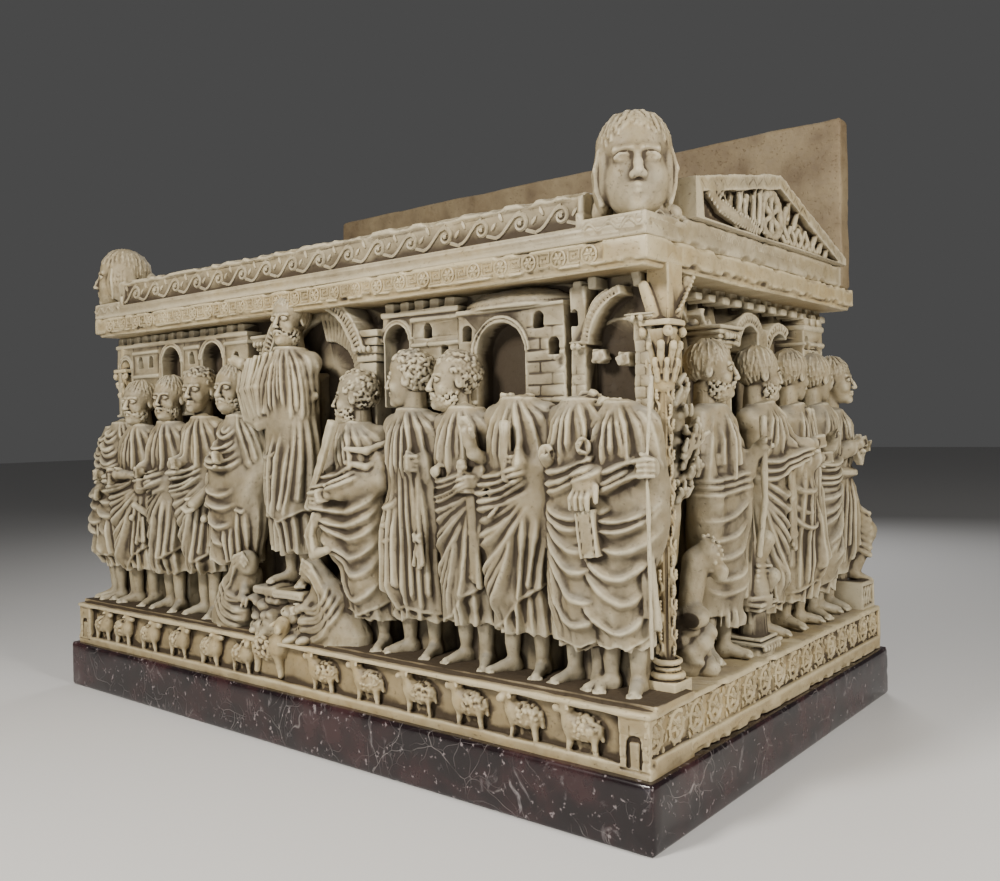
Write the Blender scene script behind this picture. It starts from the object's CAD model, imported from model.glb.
# %% [markdown]
# # A marble sarcophagus, carved as distances
# A carver starts from a block and takes stone away, so the model does too. Each region of
# the relief is a grid of numbers that say how far a spot is from the surface: below zero
# is stone. Limbs, cloth and arches are added and cut with soft joins, and the grid is
# meshed once at the end, which gives one closed skin without seams, as on the real block.
# Repeated ornament (scrolls, rosettes, scallops) is laid along the bands with Geometry Nodes.

# %% Frame and tools
import math
from collections import namedtuple
from concurrent.futures import ThreadPoolExecutor

import bmesh
import bpy
import numpy as np
import openvdb
from mathutils import Matrix, Vector


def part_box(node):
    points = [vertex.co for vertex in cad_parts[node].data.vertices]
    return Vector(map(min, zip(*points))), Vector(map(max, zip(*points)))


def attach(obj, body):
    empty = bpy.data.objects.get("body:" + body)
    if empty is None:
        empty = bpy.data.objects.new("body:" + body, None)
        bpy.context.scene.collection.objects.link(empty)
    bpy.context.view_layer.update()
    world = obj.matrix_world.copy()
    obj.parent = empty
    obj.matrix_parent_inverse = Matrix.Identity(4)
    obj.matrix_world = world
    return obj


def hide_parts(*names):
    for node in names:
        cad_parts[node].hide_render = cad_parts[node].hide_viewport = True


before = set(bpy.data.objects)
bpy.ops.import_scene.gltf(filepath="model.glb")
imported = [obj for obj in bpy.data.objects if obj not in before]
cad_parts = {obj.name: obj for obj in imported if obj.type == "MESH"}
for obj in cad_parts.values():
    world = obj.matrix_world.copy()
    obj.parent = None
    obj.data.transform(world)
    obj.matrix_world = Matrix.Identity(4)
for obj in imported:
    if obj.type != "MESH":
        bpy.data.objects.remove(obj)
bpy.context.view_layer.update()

plinth_low, plinth_high = (Vector(c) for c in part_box("plinth"))
chest_low, chest_high = (Vector(c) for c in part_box("chest"))
lid_low, lid_high = (Vector(c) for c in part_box("lid"))
slab_low, slab_high = (Vector(c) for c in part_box("rear_slab"))
print("plinth", plinth_low, plinth_high)
print("chest", chest_low, chest_high)
print("lid", lid_low, lid_high)

# %% [markdown]
# ## Driving sizes
# Heights that every side shares: the ledge under the feet, the shoulders, the underside of
# the top band. The wall planes are where the ground of the relief lies. They are the same
# as the solid model's, in metres.

# %% Driving sizes
LEDGE = 0.308
RELIEF_FOOT, RELIEF_TOP = 0.296, 1.336      # the carved blocks reach a little past ledge and rim
CHEST_FOOT, CHEST_TOP = 0.1615, 1.3895      # half a millimetre inside the solid model's chest
RIM = 1.334                                 # underside of the plain top band
BAND_LOW, BAND_HIGH = 0.205, 0.294          # the sunk band of the right end
WALL_FRONT, WALL_END, WALL_BACK = 0.58, 1.05, 0.62
CORNICE_END, CORNICE_FRONT, CORNICE_BACK = 1.2147, 0.7095, 0.655
BASE_END, BASE_FRONT = 1.25, 0.788
SHOULDER = 1.01
OUT = 0.092                      # middle of a standing body, in front of its wall

# Coarser stone while trying things, full detail otherwise.
STEP = 0.0036
HEAD_STEP = 0.0022
FAR = 0.06
print("grid step", STEP, "head step", HEAD_STEP)

# %% [markdown]
# ## The block of stone
# `Stone` holds the grid. A shape is a box that bounds it and a function for its distance, so
# only the cells near the shape are touched, which keeps a carving of hundreds of shapes
# quick. `blend` is the width over which two surfaces melt into each other, as where a
# carver leaves a soft web of stone between an arm and a mantle.

# %% The block of stone
Shape = namedtuple("Shape", "low high distance")


def soft_min(a, b, blend):
    if blend <= 0:
        return np.minimum(a, b)
    mix = np.maximum(blend - np.abs(a - b), 0) / blend
    return np.minimum(a, b) - mix * mix * (blend / 4)


class Stone:
    def __init__(self, low, high, step):
        self.low = np.asarray(low, np.float32)
        self.step = step
        count = np.ceil((np.asarray(high) - self.low) / step).astype(int) + 1
        self.field = np.full(count, FAR, np.float32)

    def window(self, low, high):
        first = np.floor((np.asarray(low) - self.low) / self.step).astype(int)
        last = np.ceil((np.asarray(high) - self.low) / self.step).astype(int) + 1
        first = np.clip(first, 0, self.field.shape)
        last = np.clip(last, 0, self.field.shape)
        axes = [(self.low[i] + self.step * np.arange(first[i], last[i])).astype(np.float32) for i in range(3)]
        return tuple(slice(a, b) for a, b in zip(first, last)), np.ix_(*axes)

    def near(self, shape, margin):
        return self.window(np.asarray(shape.low) - margin, np.asarray(shape.high) + margin)

    def add(self, shape, blend=0.0):
        place, grid = self.near(shape, blend + 3 * self.step)
        if self.field[place].size:
            self.field[place] = soft_min(self.field[place], shape.distance(*grid), blend)
        return self

    def strand(self, points, radii, blend=0.0):
        """Adds bones end to end through the points, with a radius at each."""
        for form in chain(points, radii):
            self.add(form, blend)

    def cut(self, shape, blend=0.0):
        place, grid = self.near(shape, blend + 3 * self.step)
        if self.field[place].size:
            self.field[place] = -soft_min(-self.field[place], shape.distance(*grid), blend)
        return self

    def join(self, other, blend=0.0):
        """Adds another stone on the same grid spacing and alignment."""
        first = np.round((other.low - self.low) / self.step).astype(int)
        last = first + other.field.shape
        a = np.clip(first, 0, self.field.shape)
        b = np.clip(last, 0, self.field.shape)
        mine = tuple(slice(i, j) for i, j in zip(a, b))
        theirs = tuple(slice(i, j) for i, j in zip(a - first, b - first))
        self.field[mine] = soft_min(self.field[mine], other.field[theirs], blend)

    def piece_of(self, low, high):
        """An empty stone whose cells line up with this one's."""
        first = np.floor((np.asarray(low) - self.low) / self.step)
        start = self.low + first.astype(np.float32) * self.step
        return Stone(start, high, self.step)

    def skin(self):
        """Vertices and faces of the surface, in the frame of the grid."""
        grid = openvdb.FloatGrid(FAR)
        grid.copyFromArray(np.ascontiguousarray(self.field), tolerance=0.0)
        points, triangles, quads = grid.convertToPolygons(isovalue=0.0, adaptivity=0.0)
        spots = points * self.step + self.low
        # The mesher winds its faces inwards.
        return spots.astype(np.float32), triangles[:, ::-1], quads[:, ::-1]


# %% [markdown]
# ## Simple forms
# A ball squashed along three axes, a tapering bone, a box with soft edges, an arch and a
# ring. Everything on the sarcophagus, from a thumb to a city gate, is made of these.

# %% Simple forms
def lump(centre, radii, turn=0.0, tilt=0.0):
    """A squashed ball; `turn` spins it about the vertical, `tilt` leans it in the picture plane."""
    cx, cy, cz = centre
    rx, ry, rz = radii
    reach = max(radii)
    cos_turn, sin_turn = math.cos(turn), math.sin(turn)
    cos_tilt, sin_tilt = math.cos(tilt), math.sin(tilt)

    def distance(x, y, z):
        dx, dy, dz = x - cx, y - cy, z - cz
        if tilt:
            dx, dz = dx * cos_tilt + dz * sin_tilt, dz * cos_tilt - dx * sin_tilt
        if turn:
            dx, dy = dx * cos_turn + dy * sin_turn, dy * cos_turn - dx * sin_turn
        near = np.sqrt((dx / rx) ** 2 + (dy / ry) ** 2 + (dz / rz) ** 2 + 1e-6)
        steep = (dx / rx ** 2) ** 2 + (dy / ry ** 2) ** 2 + (dz / rz ** 2) ** 2
        return near * (near - 1) / np.sqrt(steep + 1e-6 / min(radii) ** 2)

    if turn or tilt:
        low = [c - reach for c in centre]
        high = [c + reach for c in centre]
    else:
        low = [c - r for c, r in zip(centre, radii)]
        high = [c + r for c, r in zip(centre, radii)]
    return Shape(low, high, distance)


def bone(start, end, radius, end_radius=None):
    end_radius = radius if end_radius is None else end_radius
    ax, ay, az = start
    reach = [b - a for a, b in zip(start, end)]
    length = sum(r * r for r in reach) + 1e-9
    most = max(radius, end_radius)

    def distance(x, y, z):
        dx, dy, dz = x - ax, y - ay, z - az
        along = np.clip((dx * reach[0] + dy * reach[1] + dz * reach[2]) / length, 0, 1)
        squared = ((dx - along * reach[0]) ** 2 + (dy - along * reach[1]) ** 2 + (dz - along * reach[2]) ** 2)
        return np.sqrt(squared) - (radius + (end_radius - radius) * along)

    low = [min(a, b) - most for a, b in zip(start, end)]
    high = [max(a, b) + most for a, b in zip(start, end)]
    return Shape(low, high, distance)


def chain(points, radii):
    """Bones end to end through the points, with a radius at each."""
    return [bone(a, b, ra, rb) for a, b, ra, rb in zip(points, points[1:], radii, radii[1:])]


def block(low, high, soft=0.0, turn=0.0):
    """A box with its edges rounded by `soft`, turned in the picture plane about its middle."""
    middle = [(a + b) / 2 for a, b in zip(low, high)]
    half = [(b - a) / 2 - soft for a, b in zip(low, high)]
    cos_turn, sin_turn = math.cos(turn), math.sin(turn)

    def distance(x, y, z):
        dx, dy, dz = x - middle[0], y - middle[1], z - middle[2]
        if turn:
            dx, dz = dx * cos_turn + dz * sin_turn, dz * cos_turn - dx * sin_turn
        qx, qy, qz = np.abs(dx) - half[0], np.abs(dy) - half[1], np.abs(dz) - half[2]
        outside = np.sqrt(np.maximum(qx, 0) ** 2 + np.maximum(qy, 0) ** 2 + np.maximum(qz, 0) ** 2)
        return outside + np.minimum(np.maximum(np.maximum(qx, qy), qz), 0) - soft

    if turn:
        reach = math.hypot(half[0], half[2]) + soft
        low = (middle[0] - reach, low[1], middle[2] - reach)
        high = (middle[0] + reach, high[1], middle[2] + reach)
    return Shape(low, high, distance)


def arch(x, spring, radius, foot, near, far, soft=0.0):
    """A doorway: a half round over a straight-sided opening, from y = near to y = far."""
    deep, middle = (far - near) / 2 - soft, (near + far) / 2

    def distance(px, py, pz):
        above = np.maximum(pz - spring, 0)
        flat = np.sqrt((px - x) ** 2 + above ** 2) - radius + soft
        flat = np.maximum(flat, foot + soft - pz)
        depth = np.abs(py - middle) - deep
        return np.minimum(np.maximum(flat, depth), 0) + np.sqrt(
            np.maximum(flat, 0) ** 2 + np.maximum(depth, 0) ** 2) - soft

    return Shape((x - radius, near, foot), (x + radius, far, spring + radius), distance)


def hoop(x, spring, radius, band, near, far, start=0.0, end=math.pi):
    """A flat curved band, such as an arch moulding, between two angles from +x."""
    middle, deep = (near + far) / 2, (far - near) / 2

    def distance(px, py, pz):
        ring = np.abs(np.sqrt((px - x) ** 2 + (pz - spring) ** 2) - (radius - band / 2)) - band / 2
        angle = np.arctan2(pz - spring, px - x)
        out = np.maximum(start - angle, angle - end) * radius
        return np.maximum(np.maximum(ring, np.abs(py - middle) - deep), out)

    return Shape((x - radius, near, spring - radius), (x + radius, far, spring + radius), distance)


# %% [markdown]
# ## Wear and grain
# Hand-carved stone is never quite even. A small cube of smooth random numbers, repeated,
# gives the same gentle unevenness on every run.

# %% Wear and grain
NOISE_SIZE = 48
noise_cube = np.random.default_rng(7).standard_normal((NOISE_SIZE,) * 3).astype(np.float32)
for axis in range(3):
    noise_cube = (np.roll(noise_cube, 1, axis) + 2 * noise_cube + np.roll(noise_cube, -1, axis)) / 4
noise_cube /= noise_cube.std()


def grain(spots, scale):
    """Smooth noise at points, with features about `scale` metres across."""
    where = np.asarray(spots, np.float32) / (scale * 0.5)
    cell = np.floor(where).astype(int)
    part = where - cell
    part = part * part * (3 - 2 * part)
    total = np.zeros(len(where), np.float32)
    for corner in range(8):
        shift = np.array([(corner >> 2) & 1, (corner >> 1) & 1, corner & 1])
        weight = np.prod(np.where(shift, part, 1 - part), axis=1)
        spot = (cell + shift) % NOISE_SIZE
        total += weight * noise_cube[spot[:, 0], spot[:, 1], spot[:, 2]]
    return total


# %% [markdown]
# ## Drapery
# Cloth round a body is drawn on a flat sheet that wraps it: `u` runs round the body and
# `v` is the height. A fold is a bent line with a rounded back. A family of folds is drawn
# between a first and a last line, which is how folds run from a hip to a shoulder or hang
# in swags between two hands. Layers lift a mantle off the tunic below it.

# %% Drapery
PITCH = 0.002
WRAP = 0.095                     # radius at which a round body is unrolled
FOLD_WIDE, FOLD_HIGH = 1.32, 1.35  # a fold's foot is wider than its crest


class Cloth:
    def __init__(self, foot, top, seed, place=lambda u, v: (u, v)):
        self.place = place
        self.rng = np.random.default_rng(seed)
        self.u = np.arange(-0.26, 0.26, PITCH, dtype=np.float32)
        self.v = np.arange(foot - 0.03, top + 0.05, PITCH, dtype=np.float32)
        self.rise = np.zeros((len(self.u), len(self.v)), np.float32)
        self.lift = np.zeros_like(self.rise)

    def fold(self, line, width, height, fade=(0.25, 0.25)):
        self.press([self.place(*p) for p in line], width, height, fade)

    def press(self, line, width, height, fade):
        """Raises the sheet along a bent line through three of its spots."""
        a, b, c = (np.asarray(p, np.float32) for p in line)
        width *= FOLD_WIDE
        length = np.linalg.norm(b - a) + np.linalg.norm(c - b)
        t = np.linspace(0, 1, max(6, int(length / 0.012)), dtype=np.float32)[:, None]
        path = (1 - t) ** 2 * a + 2 * t * (1 - t) * b + t * t * c
        low = path.min(0) - width
        high = path.max(0) + width
        i0, i1 = np.searchsorted(self.u, (low[0], high[0]))
        j0, j1 = np.searchsorted(self.v, (low[1], high[1]))
        if i1 <= i0 or j1 <= j0:
            return
        uu = self.u[i0:i1][:, None, None]
        vv = self.v[j0:j1][None, :, None]
        start, step = path[:-1], np.diff(path, axis=0)
        square = (step ** 2).sum(1) + 1e-9
        along = np.clip(((uu - start[:, 0]) * step[:, 0] + (vv - start[:, 1]) * step[:, 1]) / square, 0, 1)
        gap = (uu - start[:, 0] - along * step[:, 0]) ** 2 + (vv - start[:, 1] - along * step[:, 1]) ** 2
        nearest = gap.argmin(2)
        gap = np.sqrt(np.take_along_axis(gap, nearest[..., None], 2)[..., 0])
        reached = (nearest + np.take_along_axis(along, nearest[..., None], 2)[..., 0]) / len(step)
        size = (np.clip(reached / max(fade[0], 1e-3), 0.02, 1)
                * np.clip((1 - reached) / max(fade[1], 1e-3), 0.02, 1)) ** 0.8
        across = np.clip(np.sqrt((gap / (width * (0.5 + 0.5 * size))) ** 2 + 0.02) - 0.14, 0, 1)
        shape = FOLD_HIGH * height * size * (1 - across) ** 1.9
        here = self.rise[i0:i1, j0:j1]
        np.maximum(here, shape, out=here)

    def folds(self, first, last, count, width, height, fade=(0.25, 0.25), uneven=0.25):
        """Folds from the first line to the last, not quite evenly spaced or sized."""
        first, last = (np.asarray([self.place(*p) for p in line], float) for line in (first, last))
        for i in range(count):
            share = i / max(count - 1, 1) + self.rng.uniform(-0.5, 0.5) * uneven / max(count - 1, 1)
            a, b, c = first + (last - first) * share + self.rng.uniform(-1, 1, (3, 2)) * 0.012 * uneven
            # Some folds start late or die early, as real ones do.
            late, early = self.rng.uniform(0, 0.55 * uneven, 2) * (i % 2)
            start = a + (b - a) * 2 * late
            end = c + (b - c) * 2 * early
            size = 1 + self.rng.uniform(-1, 1) * uneven
            self.press((start, b, end), width * (0.75 + 0.35 * size), height * size, fade)

    def layer(self, outline, thick, edge=0.004):
        """Raises the cloth inside a closed outline, with a thicker hem along its edge."""
        points = np.asarray([self.place(*p) for p in outline], np.float32)
        uu, vv = self.u[:, None], self.v[None, :]
        inside = np.zeros(self.rise.shape, bool)
        gap = np.full(self.rise.shape, 1.0, np.float32)
        for a, b in zip(points, np.roll(points, -1, axis=0)):
            crosses = (a[1] > vv) != (b[1] > vv)
            slope = (b[0] - a[0]) / (b[1] - a[1] + 1e-9)
            inside ^= crosses & (uu < a[0] + slope * (vv - a[1]))
            run = b - a
            along = np.clip(((uu - a[0]) * run[0] + (vv - a[1]) * run[1]) / (run @ run + 1e-9), 0, 1)
            gap = np.minimum(gap, (uu - a[0] - along * run[0]) ** 2 + (vv - a[1] - along * run[1]) ** 2)
        gap = np.sqrt(gap)
        ramp = np.clip(0.5 + np.where(inside, gap, -gap) / 0.004, 0, 1)
        hem = edge * np.clip(1 - np.abs(gap - 0.004) / 0.006, 0, 1) * inside
        self.lift += thick * ramp + hem
        # What hangs below the new layer loses its folds where the layer covers it.
        self.rise *= 1 - 0.85 * ramp

    def height_at(self, u, v):
        """The cloth's height at spots of the sheet, read between its grid lines."""
        total = self.rise + self.lift
        for axis in (0, 1):
            total = (np.roll(total, 1, axis) + 2 * total + np.roll(total, -1, axis)) / 4
        i = np.clip((u - self.u[0]) / PITCH, 0, len(self.u) - 1.001)
        j = np.clip((v - self.v[0]) / PITCH, 0, len(self.v) - 1.001)
        a, b = i.astype(int), j.astype(int)
        i, j = i - a, j - b
        return ((total[a, b] * (1 - i) + total[a + 1, b] * i) * (1 - j)
                + (total[a, b + 1] * (1 - i) + total[a + 1, b + 1] * i) * j)

# %% [markdown]
# ## Bodies in drapery
# A standing body is an upright form whose oval section changes with height: hem, knees,
# hips, waist, chest, shoulders. One knee comes forward so that the cloth is tight over
# that leg. Arms under the mantle go in before the cloth is wrapped round, and bare
# forearms and hands go in after it. A web of stone behind ties each body to the wall.

# %% Bodies in drapery
GROUND = LEDGE + 0.004
LEVELS = np.array((0.1, 0.3, 0.55, 0.7, 0.86, 0.94, 1.0))
WIDTHS = np.array((0.094, 0.09, 0.092, 0.085, 0.09, 0.088, 0.05))
DEPTHS = np.array((0.052, 0.058, 0.064, 0.062, 0.062, 0.052, 0.036))


def upright(levels, middles, middle_y, widths, depths, turn=0.0):
    """A form whose oval section changes with height."""
    cos_turn, sin_turn = math.cos(turn), math.sin(turn)
    thin = float(min(depths)) ** 2

    def distance(x, y, z):
        height = z.ravel()
        dx = x - np.interp(height, levels, middles)[None, None, :].astype(np.float32)
        dy = y - middle_y
        if turn:
            dx, dy = dx * cos_turn + dy * sin_turn, dy * cos_turn - dx * sin_turn
        rx = np.interp(height, levels, widths)[None, None, :].astype(np.float32)
        ry = np.interp(height, levels, depths)[None, None, :].astype(np.float32)
        near = np.sqrt((dx / rx) ** 2 + (dy / ry) ** 2 + 1e-6)
        steep = np.sqrt((dx / rx ** 2) ** 2 + (dy / ry ** 2) ** 2 + 1e-6 / thin)
        ends = np.maximum(levels[0] - z, z - levels[-1])
        return np.maximum(near * (near - 1) / steep, ends)

    wide = max(widths) + max(depths)
    return Shape((min(middles) - wide, middle_y - wide, levels[0]),
                 (max(middles) + wide, middle_y + wide, levels[-1]), distance)


def tunic_folds(cloth, low=0.1, high=0.42, count=8, height=0.013):
    cloth.folds(((-0.17, low), (-0.15, (low + high) / 2), (-0.13, high)),
                ((0.17, low), (0.15, (low + high) / 2), (0.13, high)),
                count, 0.016, height, fade=(0.02, 0.4), uneven=0.45)


def orator_cloth(cloth):
    """A mantle drawn across the body: long folds fan from one hip down to the far hem."""
    tunic_folds(cloth)
    cloth.layer(((-0.26, 0.16), (-0.12, 0.155), (-0.03, 0.2), (0.04, 0.285), (0.12, 0.345),
                 (0.26, 0.38), (0.26, 1.1), (-0.26, 1.1)), 0.014)
    # From the hip: steep ones to the low hem, flatter ones to the side.
    cloth.folds(((0.03, 0.6), (0.015, 0.42), (-0.07, 0.19)),
                ((0.08, 0.66), (0.0, 0.46), (-0.15, 0.3)), 4, 0.015, 0.01, fade=(0.3, 0.2), uneven=0.35)
    cloth.folds(((0.07, 0.66), (-0.03, 0.48), (-0.16, 0.42)),
                ((0.08, 0.69), (-0.04, 0.6), (-0.16, 0.62)), 4, 0.014, 0.01, fade=(0.25, 0.2), uneven=0.35)
    cloth.folds(((0.06, 0.62), (0.055, 0.46), (0.03, 0.28)),
                ((0.16, 0.66), (0.15, 0.5), (0.15, 0.37)), 5, 0.012, 0.011, fade=(0.3, 0.05), uneven=0.3)
    # The thick roll over the forearm, and the chest.
    cloth.folds(((-0.17, 0.655), (-0.05, 0.6), (0.07, 0.72)),
                ((-0.17, 0.745), (-0.05, 0.7), (0.07, 0.775)), 4, 0.012, 0.014, fade=(0.1, 0.1), uneven=0.2)
    cloth.folds(((-0.085, 0.72), (-0.085, 0.86), (-0.06, 0.99)),
                ((0.03, 0.76), (0.03, 0.88), (0.03, 0.99)), 4, 0.013, 0.0075, fade=(0.2, 0.25), uneven=0.4)
    # The mantle over the shoulder: a rolled edge and broad folds beside it.
    cloth.fold(((0.03, 1.0), (0.062, 0.9), (0.05, 0.74)), 0.016, 0.012, (0.2, 0.1))
    cloth.folds(((0.062, 1.0), (0.1, 0.9), (0.095, 0.74)),
                ((0.11, 1.0), (0.165, 0.9), (0.165, 0.74)), 3, 0.014, 0.011, fade=(0.3, 0.1), uneven=0.2)


def swag_cloth(cloth):
    """A mantle in uneven curves that hang from the hips, over a smooth thigh."""
    tunic_folds(cloth)
    cloth.layer(((-0.26, 0.34), (-0.11, 0.3), (-0.07, 0.17), (0.04, 0.15), (0.12, 0.2),
                 (0.26, 0.3), (0.26, 1.1), (-0.26, 1.1)), 0.013)
    for start, low_u, low_w, end, height in (
            (0.7, 0.05, 0.6, 0.7, 0.012), (0.68, 0.04, 0.53, 0.66, 0.013), (0.66, 0.05, 0.45, 0.58, 0.01),
            (0.64, 0.03, 0.34, 0.52, 0.011), (0.6, 0.05, 0.25, 0.42, 0.009), (0.5, 0.02, 0.13, 0.34, 0.01)):
        lean = cloth.rng.uniform(-0.02, 0.02)
        cloth.fold(((-0.13, start + lean), (low_u - 0.02, low_w - 0.08), (0.13, end + lean)), 0.015, height,
                   fade=(0.2, 0.15))
    cloth.folds(((-0.12, 0.64), (-0.09, 0.44), (-0.02, 0.2)),
                ((-0.15, 0.6), (-0.14, 0.4), (-0.1, 0.22)), 4, 0.013, 0.011, fade=(0.2, 0.2), uneven=0.3)
    cloth.folds(((-0.16, 0.7), (-0.04, 0.66), (0.09, 0.78)),
                ((-0.15, 0.78), (-0.03, 0.72), (0.09, 0.83)), 3, 0.012, 0.013, fade=(0.1, 0.1), uneven=0.2)
    cloth.folds(((-0.095, 0.76), (-0.085, 0.88), (-0.06, 0.99)),
                ((0.05, 0.8), (0.045, 0.9), (0.03, 0.99)), 5, 0.012, 0.008, fade=(0.2, 0.25), uneven=0.4)
    cloth.fold(((0.035, 1.0), (0.072, 0.92), (0.06, 0.78)), 0.016, 0.012, (0.2, 0.1))
    cloth.folds(((0.075, 1.0), (0.11, 0.9), (0.105, 0.78)),
                ((0.12, 1.0), (0.17, 0.9), (0.17, 0.76)), 3, 0.013, 0.01, fade=(0.3, 0.1), uneven=0.3)


def sling_cloth(cloth):
    """One arm is carried in a loop of the mantle; the rest falls almost straight."""
    tunic_folds(cloth)
    cloth.layer(((-0.26, 0.3), (-0.08, 0.275), (0.05, 0.265), (0.12, 0.28), (0.26, 0.3),
                 (0.26, 1.1), (-0.26, 1.1)), 0.014)
    cloth.folds(((-0.13, 0.6), (-0.05, 0.34), (0.05, 0.42)),
                ((-0.13, 0.72), (-0.03, 0.58), (0.06, 0.66)), 4, 0.014, 0.012, fade=(0.2, 0.35), uneven=0.35)
    cloth.folds(((-0.1, 0.46), (-0.07, 0.38), (-0.03, 0.28)),
                ((-0.16, 0.5), (-0.14, 0.4), (-0.11, 0.29)), 3, 0.013, 0.011, fade=(0.4, 0.05), uneven=0.3)
    cloth.folds(((0.0, 0.48), (0.02, 0.38), (0.03, 0.27)),
                ((0.15, 0.66), (0.14, 0.46), (0.15, 0.28)), 6, 0.013, 0.012, fade=(0.3, 0.05), uneven=0.35)
    cloth.folds(((-0.1, 0.84), (-0.03, 0.7), (0.09, 0.8)),
                ((-0.04, 0.98), (0.005, 0.9), (0.045, 0.98)), 6, 0.012, 0.012, fade=(0.15, 0.2), uneven=0.3)
    cloth.folds(((0.06, 1.02), (0.095, 0.9), (0.11, 0.76)),
                ((0.12, 1.02), (0.155, 0.9), (0.16, 0.76)), 4, 0.011, 0.012, fade=(0.3, 0.1), uneven=0.2)


def long_cloth(cloth):
    """Long upright folds from shoulder to hem, with the mantle's edge across the shins."""
    tunic_folds(cloth, 0.1, 0.36, 8, 0.014)
    cloth.layer(((-0.26, 0.15), (-0.1, 0.17), (0.0, 0.205), (0.1, 0.19), (0.26, 0.17),
                 (0.26, 1.1), (-0.26, 1.1)), 0.014)
    cloth.folds(((-0.16, 0.17), (-0.15, 0.46), (-0.12, 0.8)),
                ((0.0, 0.2), (-0.01, 0.44), (-0.01, 0.7)), 6, 0.013, 0.012, fade=(0.05, 0.35), uneven=0.35)
    cloth.folds(((0.02, 0.2), (0.03, 0.5), (0.02, 0.86)),
                ((0.16, 0.18), (0.14, 0.5), (0.12, 0.9)), 6, 0.013, 0.012, fade=(0.05, 0.3), uneven=0.35)
    cloth.folds(((-0.15, 0.56), (-0.07, 0.4), (0.0, 0.5)),
                ((-0.15, 0.68), (-0.07, 0.58), (0.0, 0.66)), 3, 0.013, 0.011, uneven=0.35)
    cloth.folds(((-0.1, 0.68), (-0.085, 0.86), (-0.06, 0.99)),
                ((0.035, 0.72), (0.035, 0.88), (0.03, 0.99)), 5, 0.012, 0.0085, fade=(0.2, 0.25), uneven=0.4)
    cloth.fold(((0.035, 1.0), (0.07, 0.92), (0.06, 0.74)), 0.016, 0.012, (0.2, 0.1))
    cloth.folds(((0.075, 1.0), (0.11, 0.9), (0.105, 0.7)),
                ((0.12, 1.0), (0.17, 0.9), (0.17, 0.7)), 3, 0.013, 0.011, fade=(0.3, 0.1), uneven=0.3)


def teacher_cloth(cloth):
    """Fine upright folds from the shoulders, a mantle across the hips and a flared tunic below."""
    tunic_folds(cloth, 0.1, 0.4, 9, 0.013)
    cloth.layer(((-0.26, 0.3), (-0.11, 0.27), (-0.04, 0.3), (0.02, 0.27), (0.1, 0.32),
                 (0.26, 0.34), (0.26, 1.1), (-0.26, 1.1)), 0.014)
    cloth.folds(((-0.14, 0.28), (-0.13, 0.42), (-0.12, 0.6)),
                ((0.02, 0.29), (0.04, 0.46), (0.06, 0.66)), 6, 0.013, 0.01, fade=(0.05, 0.3), uneven=0.4)
    cloth.folds(((0.05, 0.3), (0.08, 0.5), (0.09, 0.72)),
                ((0.16, 0.33), (0.16, 0.5), (0.14, 0.8)), 4, 0.012, 0.012, fade=(0.05, 0.3), uneven=0.35)
    cloth.folds(((-0.13, 0.52), (-0.05, 0.4), (0.04, 0.5)),
                ((-0.13, 0.62), (-0.05, 0.5), (0.06, 0.62)), 2, 0.013, 0.01, uneven=0.3)
    cloth.folds(((-0.12, 0.66), (-0.1, 0.84), (-0.07, 0.99)),
                ((0.05, 0.76), (0.045, 0.9), (0.03, 1.0)), 9, 0.009, 0.008, fade=(0.1, 0.2), uneven=0.35)
    cloth.folds(((0.055, 1.0), (0.08, 0.9), (0.075, 0.7)),
                ((0.13, 1.0), (0.165, 0.86), (0.165, 0.66)), 6, 0.01, 0.01, fade=(0.2, 0.1), uneven=0.3)


def belted_cloth(cloth):
    """Upright folds on the chest, a rolled mantle edge at the hip, clinging curves down the leg."""
    tunic_folds(cloth, 0.7, 0.97, 8, 0.01)
    for lift in (0.0, 0.028, 0.054):
        cloth.folds(((-0.15, 0.66 + lift), (0.0, 0.645 + lift), (0.15, 0.69 + lift)),
                    ((-0.15, 0.665 + lift), (0.0, 0.65 + lift), (0.15, 0.695 + lift)), 1, 0.01, 0.009)
    cloth.folds(((0.13, 0.64), (0.03, 0.52), (-0.12, 0.56)),
                ((0.13, 0.36), (0.02, 0.22), (-0.12, 0.3)), 5, 0.01, 0.0055, uneven=0.3)
    cloth.folds(((0.1, 0.66), (0.12, 0.4), (0.12, 0.16)),
                ((0.16, 0.66), (0.17, 0.4), (0.17, 0.16)), 4, 0.011, 0.01, uneven=0.2)
    tunic_folds(cloth, 0.1, 0.22, 7, 0.008)


def plain_cloth(cloth):
    """A belted tunic: straight folds above and below the belt."""
    cloth.folds(((-0.17, 0.24), (-0.15, 0.46), (-0.1, 0.68)),
                ((0.17, 0.24), (0.15, 0.46), (0.1, 0.68)), 10, 0.013, 0.012, fade=(0.02, 0.3), uneven=0.4)
    cloth.folds(((-0.12, 0.7), (-0.1, 0.84), (-0.08, 1.0)),
                ((0.12, 0.7), (0.1, 0.84), (0.08, 1.0)), 7, 0.01, 0.009, uneven=0.4)
    cloth.folds(((-0.2, 0.69), (0.0, 0.67), (0.2, 0.69)),
                ((-0.2, 0.7), (0.0, 0.68), (0.2, 0.7)), 2, 0.012, 0.014, fade=(0.01, 0.01))


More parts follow.
